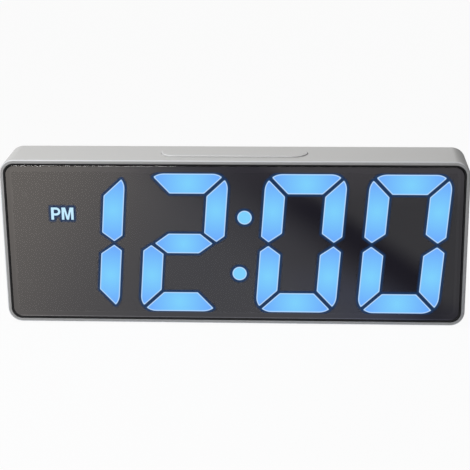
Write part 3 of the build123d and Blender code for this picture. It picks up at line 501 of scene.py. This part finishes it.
@dataclass(frozen=True)
class DisplayBlock:
    """White moulding with a black-inked front, so that only the inserts shine.

    The width of its grain and the depth of its relief are in millimetres.
    """

    name: str = "reflector"
    ink: Colour = (0.010, 0.010, 0.012)
    wall: Colour = (0.72, 0.72, 0.70)
    ink_spread: float = 0.3
    wall_spread: float = 0.05
    roughness: float = 0.8
    wall_gloss: float = 0.25
    grain: float = 0.3
    grain_gloss: float = 0.1
    relief: float = 0.01
    turned: Span = (0.10, 0.18)
    level: Span = (0.6, 0.9)

    def build(self) -> bpy.types.Material:
        """Make the material.

        Returns:
            The finished material.
        """
        graph = Graph(self.name)
        facing = graph.facing()
        well = facing.above(*self.turned) * (1 - facing.above(*self.level))
        grain = graph.noise(self.grain)
        walls = graph.tinted(self.wall, grain, self.wall_spread)
        inked = graph.tinted(self.ink, grain, self.ink_spread)
        return graph.finish(
            Base_Color=graph.mixed(well, inked, walls),
            Roughness=self.roughness - well * self.wall_gloss + grain.swing(self.grain_gloss),
            Normal=graph.bump(grain, self.relief),
        )


@dataclass(frozen=True)
class MilkyInsert:
    """Milky insert over a light: dark, or lit in one colour.

    The widths of its clouds and grain and the depth of its relief are in millimetres.
    """

    name: str
    colour: Colour
    glow: Colour = BLACK
    strength: float = 0.0
    spread: float = 0.08
    glow_spread: float = 0.05
    roughness: float = 0.35
    cloud: float = 4.0
    cloud_gloss: float = 0.1
    grain: float = 0.2
    relief: float = 0.006

    def build(self) -> bpy.types.Material:
        """Make the material.

        Returns:
            The finished material.
        """
        graph = Graph(self.name)
        cloud = graph.noise(self.cloud)
        looks = {
            "Base_Color": graph.tinted(self.colour, cloud, self.spread),
            "Roughness": self.roughness + cloud.swing(self.cloud_gloss),
            "Normal": graph.bump(graph.noise(self.grain), self.relief),
        }
        if self.strength:
            looks["Emission_Color"] = graph.tinted(self.glow, cloud, self.glow_spread)
            looks["Emission_Strength"] = self.strength
        return graph.finish(**looks)


@dataclass(frozen=True)
class DiffuserFilm:
    """Thin film that shows the lit shapes: paler at their rims, bluer at their ends, with a dark line round.

    Its spans are distances to a shape's outline in millimetres, below zero inside it.
    """

    name: str = "diffuser_film"
    middle: Colour = (0.215, 0.645, 1.00)
    ends: Colour = (0.150, 0.385, 1.00)
    border: Colour = (0.50, 0.72, 1.00)
    outer: Colour = (0.017, 0.054, 0.150)
    strength: float = 1.0
    roughness: float = 0.9
    outline: Span = (-0.07, 0.07)
    pale_rim: Span = (-0.50, -0.15)
    halo: Span = (0.10, 1.30)
    halo_cover: float = 0.85

    def build(self) -> bpy.types.Material:
        """Make the material.

        Returns:
            The finished material.
        """
        graph = Graph(self.name)
        gap, warmth = (
            Wire(graph, graph.node("ShaderNodeAttribute", {"attribute_name": name}).outputs["Fac"])
            for name in ("gap", "warmth")
        )
        inside = 1 - gap.above(*self.outline)
        face = graph.mixed(warmth, self.middle, self.ends)
        face = graph.mixed(gap.above(*self.pale_rim), face, self.border)
        return graph.finish(
            Base_Color=BLACK,
            Roughness=self.roughness,
            Specular_IOR_Level=0.0,
            Alpha=inside + (1 - inside) * (1 - gap.above(*self.halo)) * self.halo_cover,
            Emission_Color=graph.mixed(inside, self.outer, face),
            Emission_Strength=self.strength,
        )


@dataclass(frozen=True)
class SolderMask:
    """Circuit board under solder mask, with faint traces.

    The widths of its bends and weave and the height of its traces are in millimetres.
    """

    name: str = "circuit_board"
    colour: Colour = (0.020, 0.115, 0.045)
    spread: float = 0.12
    roughness: float = 0.32
    trace: Colour = (0.045, 0.190, 0.075)
    trace_edge: Span = (0.55, 0.62)
    trace_height: float = 0.03
    bend: float = 6.0
    bend_stretch: Stretch = (1.0, 1.0, 0.4)
    bend_count: float = 14.0
    weave: float = 0.5
    weave_gloss: float = 0.1

    def build(self) -> bpy.types.Material:
        """Make the material.

        Returns:
            The finished material.
        """
        graph = Graph(self.name)
        bends = graph.noise(self.bend, 0.0, self.bend_stretch) * self.bend_count
        lines = bends.maths("PINGPONG", bends, 1.0).above(*self.trace_edge)
        weave = graph.noise(self.weave, detail=1.0)
        return graph.finish(
            Base_Color=graph.mixed(lines, graph.tinted(self.colour, weave, self.spread), self.trace),
            Roughness=self.roughness + weave.swing(self.weave_gloss),
            Normal=graph.bump(lines, self.trace_height),
        )


@dataclass(frozen=True)
class PlatedMetal:
    """Plated or drawn metal with fine scratches that its lay draws out.

    The widths of its scratches and clouds and the depth of its relief are in millimetres.
    """

    name: str
    colour: Colour
    roughness: float = 0.3
    lay: Stretch = (1.0, 1.0, 12.0)
    spread: float = 0.08
    scratch: float = 1.2
    scratch_gloss: float = 0.2
    cloud: float = 5.0
    relief: float = 0.008

    def build(self) -> bpy.types.Material:
        """Make the material.

        Returns:
            The finished material.
        """
        graph = Graph(self.name)
        scratch = graph.noise(self.scratch, 3.0, self.lay)
        return graph.finish(
            Base_Color=graph.tinted(self.colour, graph.noise(self.cloud), self.spread),
            Metallic=1.0,
            Roughness=self.roughness + scratch.swing(self.scratch_gloss),
            Normal=graph.bump(scratch, self.relief),
        )


@dataclass(frozen=True)
class CellJacket:
    """Battery cell: a plain dark jacket between bare metal ends.

    The widths of its sheen and grain and the depth of its relief are in millimetres.
    """

    name: str = "battery_jacket"
    jacket: Colour = (0.030, 0.036, 0.045)
    metal: Colour = (0.62, 0.62, 0.60)
    end: Span = (0.4, 0.6)
    end_gloss: float = 0.06
    jacket_metallic: float = 0.35
    spread: float = 0.15
    roughness: float = 0.34
    sheen: float = 9.0
    sheen_gloss: float = 0.15
    grain: float = 0.6
    relief: float = 0.006

    def build(self) -> bpy.types.Material:
        """Make the material.

        Returns:
            The finished material.
        """
        graph = Graph(self.name)
        ends = graph.along(0, "Normal").maths_of("ABSOLUTE").above(*self.end)
        sheen = graph.noise(self.sheen)
        return graph.finish(
            Base_Color=graph.mixed(ends, graph.tinted(self.jacket, sheen, self.spread), self.metal),
            Metallic=self.jacket_metallic + ends * (1 - self.jacket_metallic),
            Roughness=self.roughness + sheen.swing(self.sheen_gloss) - ends * self.end_gloss,
            Normal=graph.bump(graph.noise(self.grain), self.relief),
        )


@dataclass(frozen=True)
class FlatCable:
    """Flat cable whose ribs run along its length, with a marked first wire.

    The width of its clouds and the height of its ribs are in millimetres.
    """

    name: str = "ribbon_cable"
    colour: Colour = (0.52, 0.52, 0.50)
    spread: float = 0.12
    mark: Colour = (0.40, 0.03, 0.02)
    mark_edge: Span = (0.9, 1.1)
    pitch: float = 1.0 * MM
    rib_height: float = 0.25
    roughness: float = 0.5
    cloud: float = 1.5
    cloud_gloss: float = 0.1

    def build(self) -> bpy.types.Material:
        """Make the material.

        Returns:
            The finished material.
        """
        graph = Graph(self.name)
        across = graph.along(0)
        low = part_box("ribbon_cable")[0].x
        ribs = across.maths("PINGPONG", across - low, self.pitch / 2) * (2 / self.pitch)
        first = 1 - across.above(*(low + wires * self.pitch for wires in self.mark_edge))
        return graph.finish(
            Base_Color=graph.mixed(first, graph.tinted(self.colour, ribs, self.spread), self.mark),
            Roughness=self.roughness + graph.noise(self.cloud).swing(self.cloud_gloss),
            Normal=graph.bump(ribs, self.rib_height),
        )


HOUSING_GREY: Colour = (0.560, 0.556, 0.545)


class Plastics(Enum):
    """Mouldings of the clock, by their place."""

    HOUSING = MouldedPlastic("housing", HOUSING_GREY, roughness=0.42, coat=0.3)
    BAR = EdgedPlastic("snooze_bar", HOUSING_GREY, roughness=0.42, coat=0.3)
    SHELL = LinedPlastic("shell", HOUSING_GREY, roughness=0.42, coat=0.3)
    BUTTONS = MouldedPlastic("button_grey", (0.47, 0.47, 0.46), roughness=0.40, grain=0.25)
    SWITCHES = MouldedPlastic("switch_body", (0.022, 0.022, 0.024), roughness=0.42, spread=0.15)
    PLUNGERS = MouldedPlastic("switch_plunger", (0.66, 0.65, 0.60), roughness=0.36)
    CHIPS = MouldedPlastic("black_chip", (0.018, 0.018, 0.019), roughness=0.62, spread=0.2, grain=0.15)
    LAMPS = MouldedPlastic("led_white", (0.80, 0.79, 0.66), roughness=0.30, spread=0.06)
    RUBBER = MouldedPlastic(
        "rubber_pads", (0.026, 0.026, 0.026), roughness=0.78, spread=0.2, grain=0.5, relief=0.02
    )


class Metals(Enum):
    """Bare metals of the clock."""

    STEEL = PlatedMetal("plain_steel", (0.60, 0.60, 0.60))
    CAN = PlatedMetal("capacitor_can", (0.70, 0.70, 0.72), roughness=0.34, lay=(1.0, 12.0, 1.0))


class Glows(Enum):
    """The display's inserts, lit and dark."""

    LIT = MilkyInsert("lit_segments", (0.40, 0.44, 0.48), glow=(0.30, 1.32, 2.30), strength=1.0)
    DARK = MilkyInsert("dark_segments", (0.010, 0.010, 0.012))
    LETTERS = MilkyInsert("lit_letters", (0.05, 0.06, 0.07), glow=(0.52, 0.81, 0.98), strength=1.0)


@dataclass(frozen=True)
class FlatShape:
    """A closed outline on the display's plane, in metres across and up."""

    edges: np.ndarray
    centre: np.ndarray
    half_length: float
    warmth: float
    halo_from: float

    @classmethod
    def from_edges(cls, edges: np.ndarray, round_glow: bool, halo_from: float = -1.0) -> "FlatShape":
        """Shape of boundary edges, one row of two end points each.

        Args:
            edges: Rows of start across, start up, end across and end up.
            round_glow: Whether its glow is even, as on a dot or a letter.
            halo_from: Distance in metres from which the film shows the shape's dark halo; a
                distance above zero leaves only the halo's faint outer part.

        Returns:
            The shape with its centre and half its length.
        """
        starts = edges[:, :2]
        centre = (starts.min(axis=0) + starts.max(axis=0)) / 2
        reach = float(np.hypot(*(starts - centre).T).max())
        return cls(edges, centre, reach, 0.0 if round_glow else 1.0, halo_from)

    def distance(self, across: np.ndarray, up: np.ndarray) -> np.ndarray:
        """Distance of points to the outline, below zero inside it.

        Args:
            across: Their places across.
            up: Their places up.

        Returns:
            One distance for each point.
        """
        least = np.full(across.shape, np.inf)
        inside = np.zeros(across.shape, dtype=bool)
        for x0, z0, x1, z1 in self.edges:
            run, rise = x1 - x0, z1 - z0
            length = run * run + rise * rise
            if length == 0:
                continue
            share = np.clip(((across - x0) * run + (up - z0) * rise) / length, 0, 1)
            least = np.minimum(least, np.hypot(across - x0 - share * run, up - z0 - share * rise))
            if z0 != z1:
                crossing = (z0 > up) != (z1 > up)
                inside ^= crossing & (across < x0 + (up - z0) / rise * run)
        return np.where(inside, -least, least)


def front_shapes(node: str, round_glow: bool) -> list[FlatShape]:
    """Outlines of a node's faces that look forward.

    Args:
        node: The CAD node's name.
        round_glow: Whether their glow is even.

    Returns:
        One shape for each separate face.
    """
    net = bmesh.new()
    net.from_mesh(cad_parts[node].data)
    bmesh.ops.remove_doubles(net, verts=net.verts, dist=WELD_GAP)
    net.normal_update()
    fronts = {face for face in net.faces if face.normal.y < FRONT_NORMAL}
    shapes = []
    while fronts:
        group, queue = set(), [fronts.pop()]
        while queue:
            face = queue.pop()
            group.add(face)
            near = {other for edge in face.edges for other in edge.link_faces} & fronts
            fronts -= near
            queue.extend(near)
        rim = [
            edge for edge in {edge for face in group for edge in face.edges}
            if sum(face in group for face in edge.link_faces) == 1
        ]
        rows = [(*edge.verts[0].co.xz, *edge.verts[1].co.xz) for edge in rim]
        shapes.append(FlatShape.from_edges(np.array(rows), round_glow))
    net.free()
    return shapes


def put(name: str, data: bpy.types.ID) -> bpy.types.Object:
    """Put new data into the scene.

    Args:
        name: The new object's name.
        data: Its mesh, curve, lamp or camera.

    Returns:
        The new object.
    """
    thing = bpy.data.objects.new(name, data)
    bpy.context.scene.collection.objects.link(thing)
    return thing


def flat_piece(name: str, loops: list[list[Point]], front: float, thickness: float) -> bpy.types.Object:
    """Thin upright plate that faces forward.

    Args:
        name: The piece's name.
        loops: Closed outlines in metres, across and up; inner ones are holes.
        front: Where its front lies along Y.
        thickness: Its thickness in metres.

    Returns:
        The new object.
    """
    curve = bpy.data.curves.new(name, "CURVE")
    curve.dimensions = "2D"
    curve.fill_mode = "BOTH"
    curve.extrude = thickness / 2
    for loop in loops:
        spline = curve.splines.new("POLY")
        spline.points.add(len(loop) - 1)
        for point, (across, up) in zip(spline.points, loop):
            point.co = (across, up, 0.0, 1.0)
        spline.use_cyclic_u = True
    shell = put(name + "_outline", curve)
    bpy.context.view_layer.update()
    mesh = bpy.data.meshes.new_from_object(shell.evaluated_get(bpy.context.evaluated_depsgraph_get()))
    mesh.transform(Matrix.Translation((0, front + thickness / 2, 0)) @ Matrix.Rotation(math.pi / 2, 4, "X"))
    bpy.data.objects.remove(shell)
    return put(name, mesh)


def half_circle(centre: Point, radius: float, steps: int = 12) -> list[Point]:
    """Points of the right half of a circle, from its foot to its top."""
    turns = [math.radians(angle) for angle in np.linspace(-90, 90, steps)]
    return [(centre[0] + radius * math.cos(turn), centre[1] + radius * math.sin(turn)) for turn in turns]


@dataclass(frozen=True)
class Lettering:
    """The two small letters beside the first digit.

    Heights count from the middle of the clock's face. The first letter's width is a share of the room,
    and its bowl's radius a share of the height. From bowl_stroke on, all shares are of the stroke.
    """

    low: float = 7.74 * MM
    high: float = 12.12 * MM
    left: float = -63.20 * MM
    right: float = -55.40 * MM
    gap: float = 0.45 * MM
    stroke: float = 0.94 * MM
    thickness: float = 0.03 * MM
    halo: float = 0.55 * MM
    room_share: float = 0.44
    bowl_height_share: float = 0.33
    bowl_stroke: float = 0.82
    stem: float = 0.92
    shoulder: float = 1.3
    notch: float = 1.35
    point: float = 0.38

    def first(self, low: float, high: float, width: float) -> list[list[Point]]:
        """Outlines of the first letter.

        Args:
            low: Height of its foot.
            high: Height of its top.
            width: Its width.

        Returns:
            The outer loop and the loop of its hole.
        """
        inner = self.left + self.stroke
        bowl = (self.high - self.low) * self.bowl_height_share
        hole = bowl - self.stroke * self.bowl_stroke
        turn = (self.left + width - bowl, high - bowl)
        return [
            [
                (self.left, low), (inner, low), (inner, high - 2 * bowl),
                *half_circle(turn, bowl), (self.left, high),
            ],
            [(inner, turn[1] - hole), *half_circle(turn, hole), (inner, turn[1] + hole)],
        ]

    def second(self, low: float, high: float, start: float) -> list[list[Point]]:
        """Outline of the second letter.

        Args:
            low: Height of its foot.
            high: Height of its top.
            start: Where its left side lies.

        Returns:
            One loop.
        """
        end = self.right
        middle = (start + end) / 2
        stem, shoulder, notch, point = (
            share * self.stroke for share in (self.stem, self.shoulder, self.notch, self.point)
        )
        return [[
            (start, low), (start + stem, low), (start + stem, high - shoulder),
            (middle - point, low), (middle + point, low),
            (end - stem, high - shoulder), (end - stem, low), (end, low),
            (end, high), (end - notch, high), (middle, low + notch),
            (start + notch, high), (start, high),
        ]]

    def outlines(self, face_middle: float) -> tuple[list[list[Point]], list[list[Point]]]:
        """Outlines of both letters.

        Args:
            face_middle: Height of the middle of the clock's face.

        Returns:
            Loops of the first letter, with its hole, and of the second.
        """
        low, high = face_middle + self.low, face_middle + self.high
        width = (self.right - self.left - self.gap) * self.room_share
        return self.first(low, high, width), self.second(low, high, self.left + width + self.gap)


class Wardrobe:
    """Finishes already made, so that parts of one stuff share a material."""

    made: dict[str, bpy.types.Material] = {}

    @classmethod
    def fetch(cls, finish: object) -> bpy.types.Material:
        """Find a finish's material, or build it the first time that it is asked for.

        Args:
            finish: One of the finishes above, with a name and a method build.

        Returns:
            Its material.
        """
        if finish.name not in cls.made:
            cls.made[finish.name] = finish.build()
        return cls.made[finish.name]


@dataclass
class SubAssembly:
    """A group of the clock's parts that are dressed together."""

    title: ClassVar[str]
    finishes: ClassVar[dict[str, object]]
    body: str = "clock"

    def dress(self) -> None:
        """Give each carried-over part its finish."""
        for node, finish in self.finishes.items():
            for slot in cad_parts[node].material_slots:
                slot.material = Wardrobe.fetch(finish)
            log.info("%s: %s wears %s", self.title, node, finish.name)

    def add(self, piece: bpy.types.Object, finish: object, slot: str) -> None:
        """Dress a new piece and put it on its body.

        Args:
            piece: The new object.
            finish: What it is made of.
            slot: The record's material slot that it goes with; not used.
        """
        piece.data.materials.clear()
        piece.data.materials.append(Wardrobe.fetch(finish))
        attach(piece, self.body)
        log.info("%s: added %s", self.title, piece.name)

    def build(self) -> None:
        """Dress the parts; a sub-assembly with pieces of its own adds them too."""
        self.dress()


@dataclass
class Housing(SubAssembly):
    """The shell with its cover, door, snooze bar and pads, and the lens in its window."""

    title = "housing"
    finishes = {
        "front_shell": Plastics.SHELL.value,
        "back_cover": Plastics.HOUSING.value,
        "snooze_bar": Plastics.BAR.value,
        "battery_door": Plastics.HOUSING.value,
        "rubber_pads": Plastics.RUBBER.value,
        "mirror_lens": HalfMirror(),
        "lens_gasket": SoftRubber(),
        "cover_screws": Metals.STEEL.value,
    }


@dataclass
class Display(SubAssembly):
    """Inserts behind the mirror, the small letters and the film that carries their bloom.

    The hot spot is the even middle of a shape's glow, as a share of half its length.
    """

    title = "display"
    finishes = {
        "display_reflector": DisplayBlock(),
        "lit_segments": Glows.LIT.value,
        "colon_dots": Glows.LIT.value,
        "dark_segments": Glows.DARK.value,
        "indicator_window": Glows.DARK.value,
        "segment_leds": Plastics.LAMPS.value,
        "display_board": SolderMask(),
        "display_board_screws": Metals.STEEL.value,
    }
    film_depth: float = 0.05 * MM
    cell: float = 0.4 * MM
    reach: float = 1.6 * MM
    hot_spot: float = 0.06
    lettering: Lettering = Lettering()
    shapes: list[FlatShape] = field(default_factory=list)

    def letters(self) -> None:
        """Make the two small letters on the film."""
        low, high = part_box("front_shell")
        outlines = self.lettering.outlines((low.z + high.z) / 2)
        thickness = self.lettering.thickness
        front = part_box("mirror_lens")[1].y - self.film_depth - 2 * thickness
        for name, loops in zip(("indicator_first_letter", "indicator_second_letter"), outlines):
            self.add(flat_piece(name, loops, front, thickness), Glows.LETTERS.value, "lit_segments")
            rows = [(*start, *end) for loop in loops for start, end in zip(loop, loop[1:] + loop[:1])]
            self.shapes.append(FlatShape.from_edges(np.array(rows), True, self.lettering.halo))

    def film(self) -> None:
        """Make the film, whose points know how near the lit shapes are."""
        corners = np.concatenate([shape.edges.reshape(-1, 2) for shape in self.shapes])
        low, high = corners.min(axis=0) - self.reach, corners.max(axis=0) + self.reach
        across, up = np.meshgrid(np.arange(low[0], high[0], self.cell), np.arange(low[1], high[1], self.cell))
        nearest = np.full(across.shape, self.reach)
        warmth = np.zeros(across.shape)
        for shape in self.shapes:
            corners = shape.edges.reshape(-1, 2)
            ends = np.array([corners.min(axis=0) - self.reach, corners.max(axis=0) + self.reach])
            rows = slice(*np.searchsorted(up[:, 0], ends[:, 1]))
            columns = slice(*np.searchsorted(across[0], ends[:, 0]))
            part = (rows, columns)
            gap = np.maximum(shape.distance(across[part], up[part]), shape.halo_from)
            out = np.hypot(across[part] - shape.centre[0], up[part] - shape.centre[1]) / shape.half_length
            closer = gap < nearest[part]
            faded = np.clip(np.hypot(out, self.hot_spot) - self.hot_spot, 0, 1) * shape.warmth
            warmth[part] = np.where(closer, faded, warmth[part])
            nearest[part] = np.minimum(gap, nearest[part])
        self.film_mesh(across, up, nearest, warmth)

    def film_mesh(self, across: np.ndarray, up: np.ndarray, gap: np.ndarray, warmth: np.ndarray) -> None:
        """Turn the film's grid into a piece.

        Args:
            across: Places across.
            up: Places up.
            gap: Distance of each place to the nearest lit shape, below zero inside it.
            warmth: How near each place is to the end of its shape, from 0 to 1.
        """
        used = gap < self.reach
        number = np.cumsum(used.ravel()).reshape(used.shape) - 1
        rows, columns = np.nonzero(used[:-1, :-1] & used[:-1, 1:] & used[1:, 1:] & used[1:, :-1])
        corners = ((0, 0), (0, 1), (1, 1), (1, 0))
        faces = np.stack([number[rows + row, columns + column] for row, column in corners], axis=1)
        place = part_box("mirror_lens")[1].y - self.film_depth
        points = np.stack([across[used], np.full(int(used.sum()), place), up[used]], axis=1)
        mesh = bpy.data.meshes.new("diffuser_film")
        mesh.from_pydata(points.tolist(), [], faces.tolist())
        for name, values in (("gap", gap[used] / MM), ("warmth", warmth[used])):
            mesh.attributes.new(name, "FLOAT", "POINT").data.foreach_set("value", values.astype(np.float32))
        self.add(put("diffuser_film", mesh), DiffuserFilm(), "lit_segments")

    def build(self) -> None:
        """Dress the display, then make its letters and film."""
        self.dress()
        self.shapes = front_shapes("lit_segments", False) + front_shapes("colon_dots", True)
        self.letters()
        self.film()


@dataclass
class Works(SubAssembly):
    """What stands on the back of the display board, the flat cable and the power inlet."""

    title = "works"
    finishes = {
        "controller_chip": Plastics.CHIPS.value,
        "driver_chips": Plastics.CHIPS.value,
        "clock_crystal": Metals.STEEL.value,
        "capacitors": Metals.CAN.value,
        "buzzer": Plastics.CHIPS.value,
        "ribbon_cable": FlatCable(),
        "power_inlet": Metals.STEEL.value,
        "power_board": SolderMask(),
    }


@dataclass
class Keys(SubAssembly):
    """The five push buttons on the sloping back and all switches with their plungers."""

    title = "keys"
    names: ClassVar[tuple[str, ...]] = ("alarm", "set", "mode", "down", "up")
    finishes = {
        **dict.fromkeys([f"{name}_button" for name in names], Plastics.BUTTONS.value),
        **dict.fromkeys([f"{name}_plunger" for name in names], Plastics.PLUNGERS.value),
        "snooze_plunger": Plastics.PLUNGERS.value,
        "snooze_switch": Plastics.SWITCHES.value,
        "button_switches": Plastics.SWITCHES.value,
        "button_board": SolderMask(),
        "button_board_screws": Metals.STEEL.value,
    }


@dataclass
class BatteryBay(SubAssembly):
    """The three cells and the contacts at their ends."""

    title = "battery bay"
    finishes = {
        **{f"battery_cell_{number}": CellJacket() for number in (1, 2, 3)},
        "battery_contacts": Metals.STEEL.value,
    }


@dataclass(frozen=True)
class Fade:
    """One colour that turns into another between two distances."""

    span: Span
    first: Colour
    second: Colour

    def over(self, graph: Graph, distance: Wire) -> bpy.types.NodeSocket:
        """The colour at a distance."""
        return graph.mixed(distance.above(*self.span), self.first, self.second)


@dataclass(frozen=True)
class Card:
    """Card on the floor before the clock, whose colours the display's mirror shows.

    From the left lie the open room, a middle part, a dark slanting band and the part beyond it. Their
    spans lie along the slant, which leans to the left away from the clock; the colours of all but the
    room fade along the distance from the clock, and the room's from left to right. The part beyond the
    band is darker at its foot, beside the clock, and from side_from it takes the card's whole right side.
    """

    left: float = -0.150
    right: float = 0.160
    near: float = -0.420
    far: float = -0.022
    height: float = 0.4 * MM
    lean: float = 0.44
    room: Fade = Fade((-0.130, -0.012), (1.00, 0.935, 0.88), (0.445, 0.450, 0.500))
    middle: Fade = Fade((0.035, 0.085), (0.32, 0.35, 0.50), (0.31, 0.31, 0.36))
    middle_from: Span = (0.022, 0.072)
    band: Fade = Fade((0.140, 0.210), (0.095, 0.090, 0.130), (0.22, 0.21, 0.26))
    band_from: Span = (0.060, 0.092)
    beyond: Fade = Fade((0.150, 0.200), (0.29, 0.29, 0.32), (0.36, 0.35, 0.39))
    beyond_from: Span = (0.094, 0.112)
    foot: Colour = (0.20, 0.20, 0.25)
    foot_until: Span = (0.024, 0.046)
    side_from: Span = (0.066, 0.077)

    def corners(self) -> list[tuple[float, float, float]]:
        """Find its corners.

        Returns:
            The four places, in order round it.
        """
        sides = (self.left, self.right, self.right, self.left)
        edges = (self.near, self.near, self.far, self.far)
        return [(side, edge, self.height) for side, edge in zip(sides, edges)]

    def colour(self, graph: Graph) -> bpy.types.NodeSocket:
        """Lay its colours over each other.

        Args:
            graph: The material's graph.

        Returns:
            What each place of it shines with.
        """
        across, away = graph.along(0), graph.along(1) * -1.0
        slant = across + away * self.lean
        shown = self.room.over(graph, across)
        shown = graph.mixed(slant.above(*self.middle_from), shown, self.middle.over(graph, away))
        shown = graph.mixed(slant.above(*self.band_from), shown, self.band.over(graph, away))
        right = graph.mixed(away.above(*self.foot_until), self.foot, self.beyond.over(graph, away))
        past = slant.above(*self.beyond_from)
        return graph.mixed(past.maths("MAXIMUM", past, across.above(*self.side_from)), shown, right)


@dataclass(frozen=True)
class Flag:
    """Two upright dark walls at the right and behind, which darken the clock's far corner."""

    side: float = 0.200
    front: float = -0.150
    back: float = 0.200
    gap: float = 0.110
    end: float = 0.700
    height: float = 0.300
    tone: Colour = (0.300, 0.300, 0.300)

    def corners(self) -> list[tuple[float, float, float]]:
        """Find its corners.

        Returns:
            Four places of the wall at the right, then of the one behind, feet first.
        """
        walls = (
            ((self.side, self.front), (self.side, self.back)),
            ((self.gap, self.back), (self.end, self.back)),
        )
        return [(*place, level) for wall in walls for level in (0.0, self.height) for place in wall]


@dataclass
class Studio:
    """Pale floor, soft light and the camera of the photograph.

    The width of the floor's clouds is in millimetres, and the camera's angles are in degrees.
    """

    floor_side: float = 6.0
    floor_tone: Colour = (0.76, 0.78, 0.82)
    floor_spread: float = 0.01
    floor_cloud: float = 400.0
    floor_roughness: float = 0.9
    white_share: float = 0.95
    ambient: float = 0.19
    key_place: tuple[float, float, float] = (-0.15, -0.10, 0.33)
    key_side: float = 0.18
    key_power: float = 0.68
    card: Card = Card()
    flag: Flag = Flag()
    focal_pixels: float = 1391.113
    camera_place: tuple[float, float, float] = (27.803 * MM, -469.936 * MM, 184.956 * MM)
    camera_turn: float = 3.4503
    camera_dip: float = 18.4813
    camera_roll: float = 0.6587
    camera_start: float = 0.01

    def floor(self) -> None:
        """Lay the pale floor, which keeps the clock's shadow."""
        half = self.floor_side / 2
        mesh = bpy.data.meshes.new("studio_floor")
        corners = [(-half, -half, 0), (half, -half, 0), (half, half, 0), (-half, half, 0)]
        mesh.from_pydata(corners, [], [(0, 1, 2, 3)])
        graph = Graph("studio_floor")
        tone = graph.tinted(self.floor_tone, graph.noise(self.floor_cloud), self.floor_spread)
        graph.finish(Base_Color=tone, Roughness=self.floor_roughness)
        inputs = {0: graph.seen() * self.white_share, 1: graph.surface.outputs[0], 2: graph.glow(WHITE)}
        graph.show(graph.node("ShaderNodeMixShader", None, inputs).outputs[0])
        mesh.materials.append(graph.material)
        self.stage("studio_floor", mesh)

    def for_mirrors(self, name: str, corners: list, faces: list, graph: Graph, shown: Feed) -> None:
        """Put up a shining thing that only mirrors see.

        Args:
            name: Its name.
            corners: Its corners.
            faces: Its faces, as numbers of corners.
            graph: Its material's graph.
            shown: The colour that it shines with.
        """
        mesh = bpy.data.meshes.new(name)
        mesh.from_pydata(corners, [], faces)
        graph.show(graph.glow(shown))
        mesh.materials.append(graph.material)
        thing = self.stage(name, mesh)
        thing.visible_camera = False
        thing.visible_diffuse = False
        thing.visible_transmission = False
        thing.visible_shadow = False

    def reflections(self) -> None:
        """Lay the card that the display mirrors, and stand the dark flag."""
        graph = Graph("reflection_card")
        shown = self.card.colour(graph)
        self.for_mirrors("reflection_card", self.card.corners(), [(0, 1, 2, 3)], graph, shown)
        walls = [(0, 1, 3, 2), (4, 5, 7, 6)]
        self.for_mirrors("dark_flag", self.flag.corners(), walls, Graph("dark_flag"), self.flag.tone)

    def stage(self, name: str, mesh: bpy.types.Mesh) -> bpy.types.Object:
        """Put a mesh into the scene as part of the stage.

        Args:
            name: The new object's name.
            mesh: Its mesh.

        Returns:
            The new object.
        """
        thing = put(name, mesh)
        return thing

    def surround(self) -> None:
        """White world, which lights the clock at a plain level."""
        world = bpy.data.worlds.new("studio")
        world.use_nodes = True
        graph = NodeTree(world.node_tree)
        level = graph.seen() * (1 - self.ambient) + self.ambient
        background = world.node_tree.nodes["Background"]
        graph.feed(background.inputs["Color"], WHITE)
        graph.feed(background.inputs["Strength"], level)
        bpy.context.scene.world = world

    def key(self) -> None:
        """Hang the one soft lamp, above and to the left."""
        lamp = bpy.data.lights.new("key_lamp", "AREA")
        lamp.size = self.key_side
        lamp.energy = self.key_power
        thing = put("key_lamp", lamp)
        thing.location = self.key_place
        thing.rotation_euler = (-Vector(self.key_place)).to_track_quat("-Z", "Y").to_euler()

    def camera(self) -> None:
        """Set the camera where the photograph was taken from."""
        lens = bpy.data.cameras.new("photo_camera")
        lens.sensor_width = SENSOR_WIDTH
        lens.lens = SENSOR_WIDTH * self.focal_pixels / PHOTO_SIDE
        lens.clip_start = self.camera_start
        thing = put("photo_camera", lens)
        aim = (
            Matrix.Rotation(math.radians(self.camera_turn), 4, "Z")
            @ Matrix.Rotation(math.radians(-self.camera_dip), 4, "X")
            @ Matrix.Rotation(math.radians(self.camera_roll), 4, "Y")
            @ Matrix.Rotation(math.pi / 2, 4, "X")
        )
        thing.matrix_world = Matrix.Translation(self.camera_place) @ aim
        bpy.context.scene.camera = thing

    def build(self) -> None:
        """Build the stage, the light and the camera."""
        self.floor()
        self.reflections()
        self.surround()
        self.key()
        self.camera()
        bpy.context.scene.view_settings.view_transform = "Standard"
        log.info("studio: floor, surround, lamp and camera are in place")


def main() -> None:
    """Dress the clock, build the studio and log the parts that have no finish."""
    logging.basicConfig(level=logging.INFO, format="%(message)s")
    for group in (Housing(), Display(), Works(), Keys(), BatteryBay()):
        group.build()
    Studio().build()
    dressed = set(Wardrobe.made.values())
    undressed = [name for name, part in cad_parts.items() if not set(part.data.materials) <= dressed]
    log.info("parts without a finish: %s", undressed or "none")


if __name__ == "__main__":
    main()
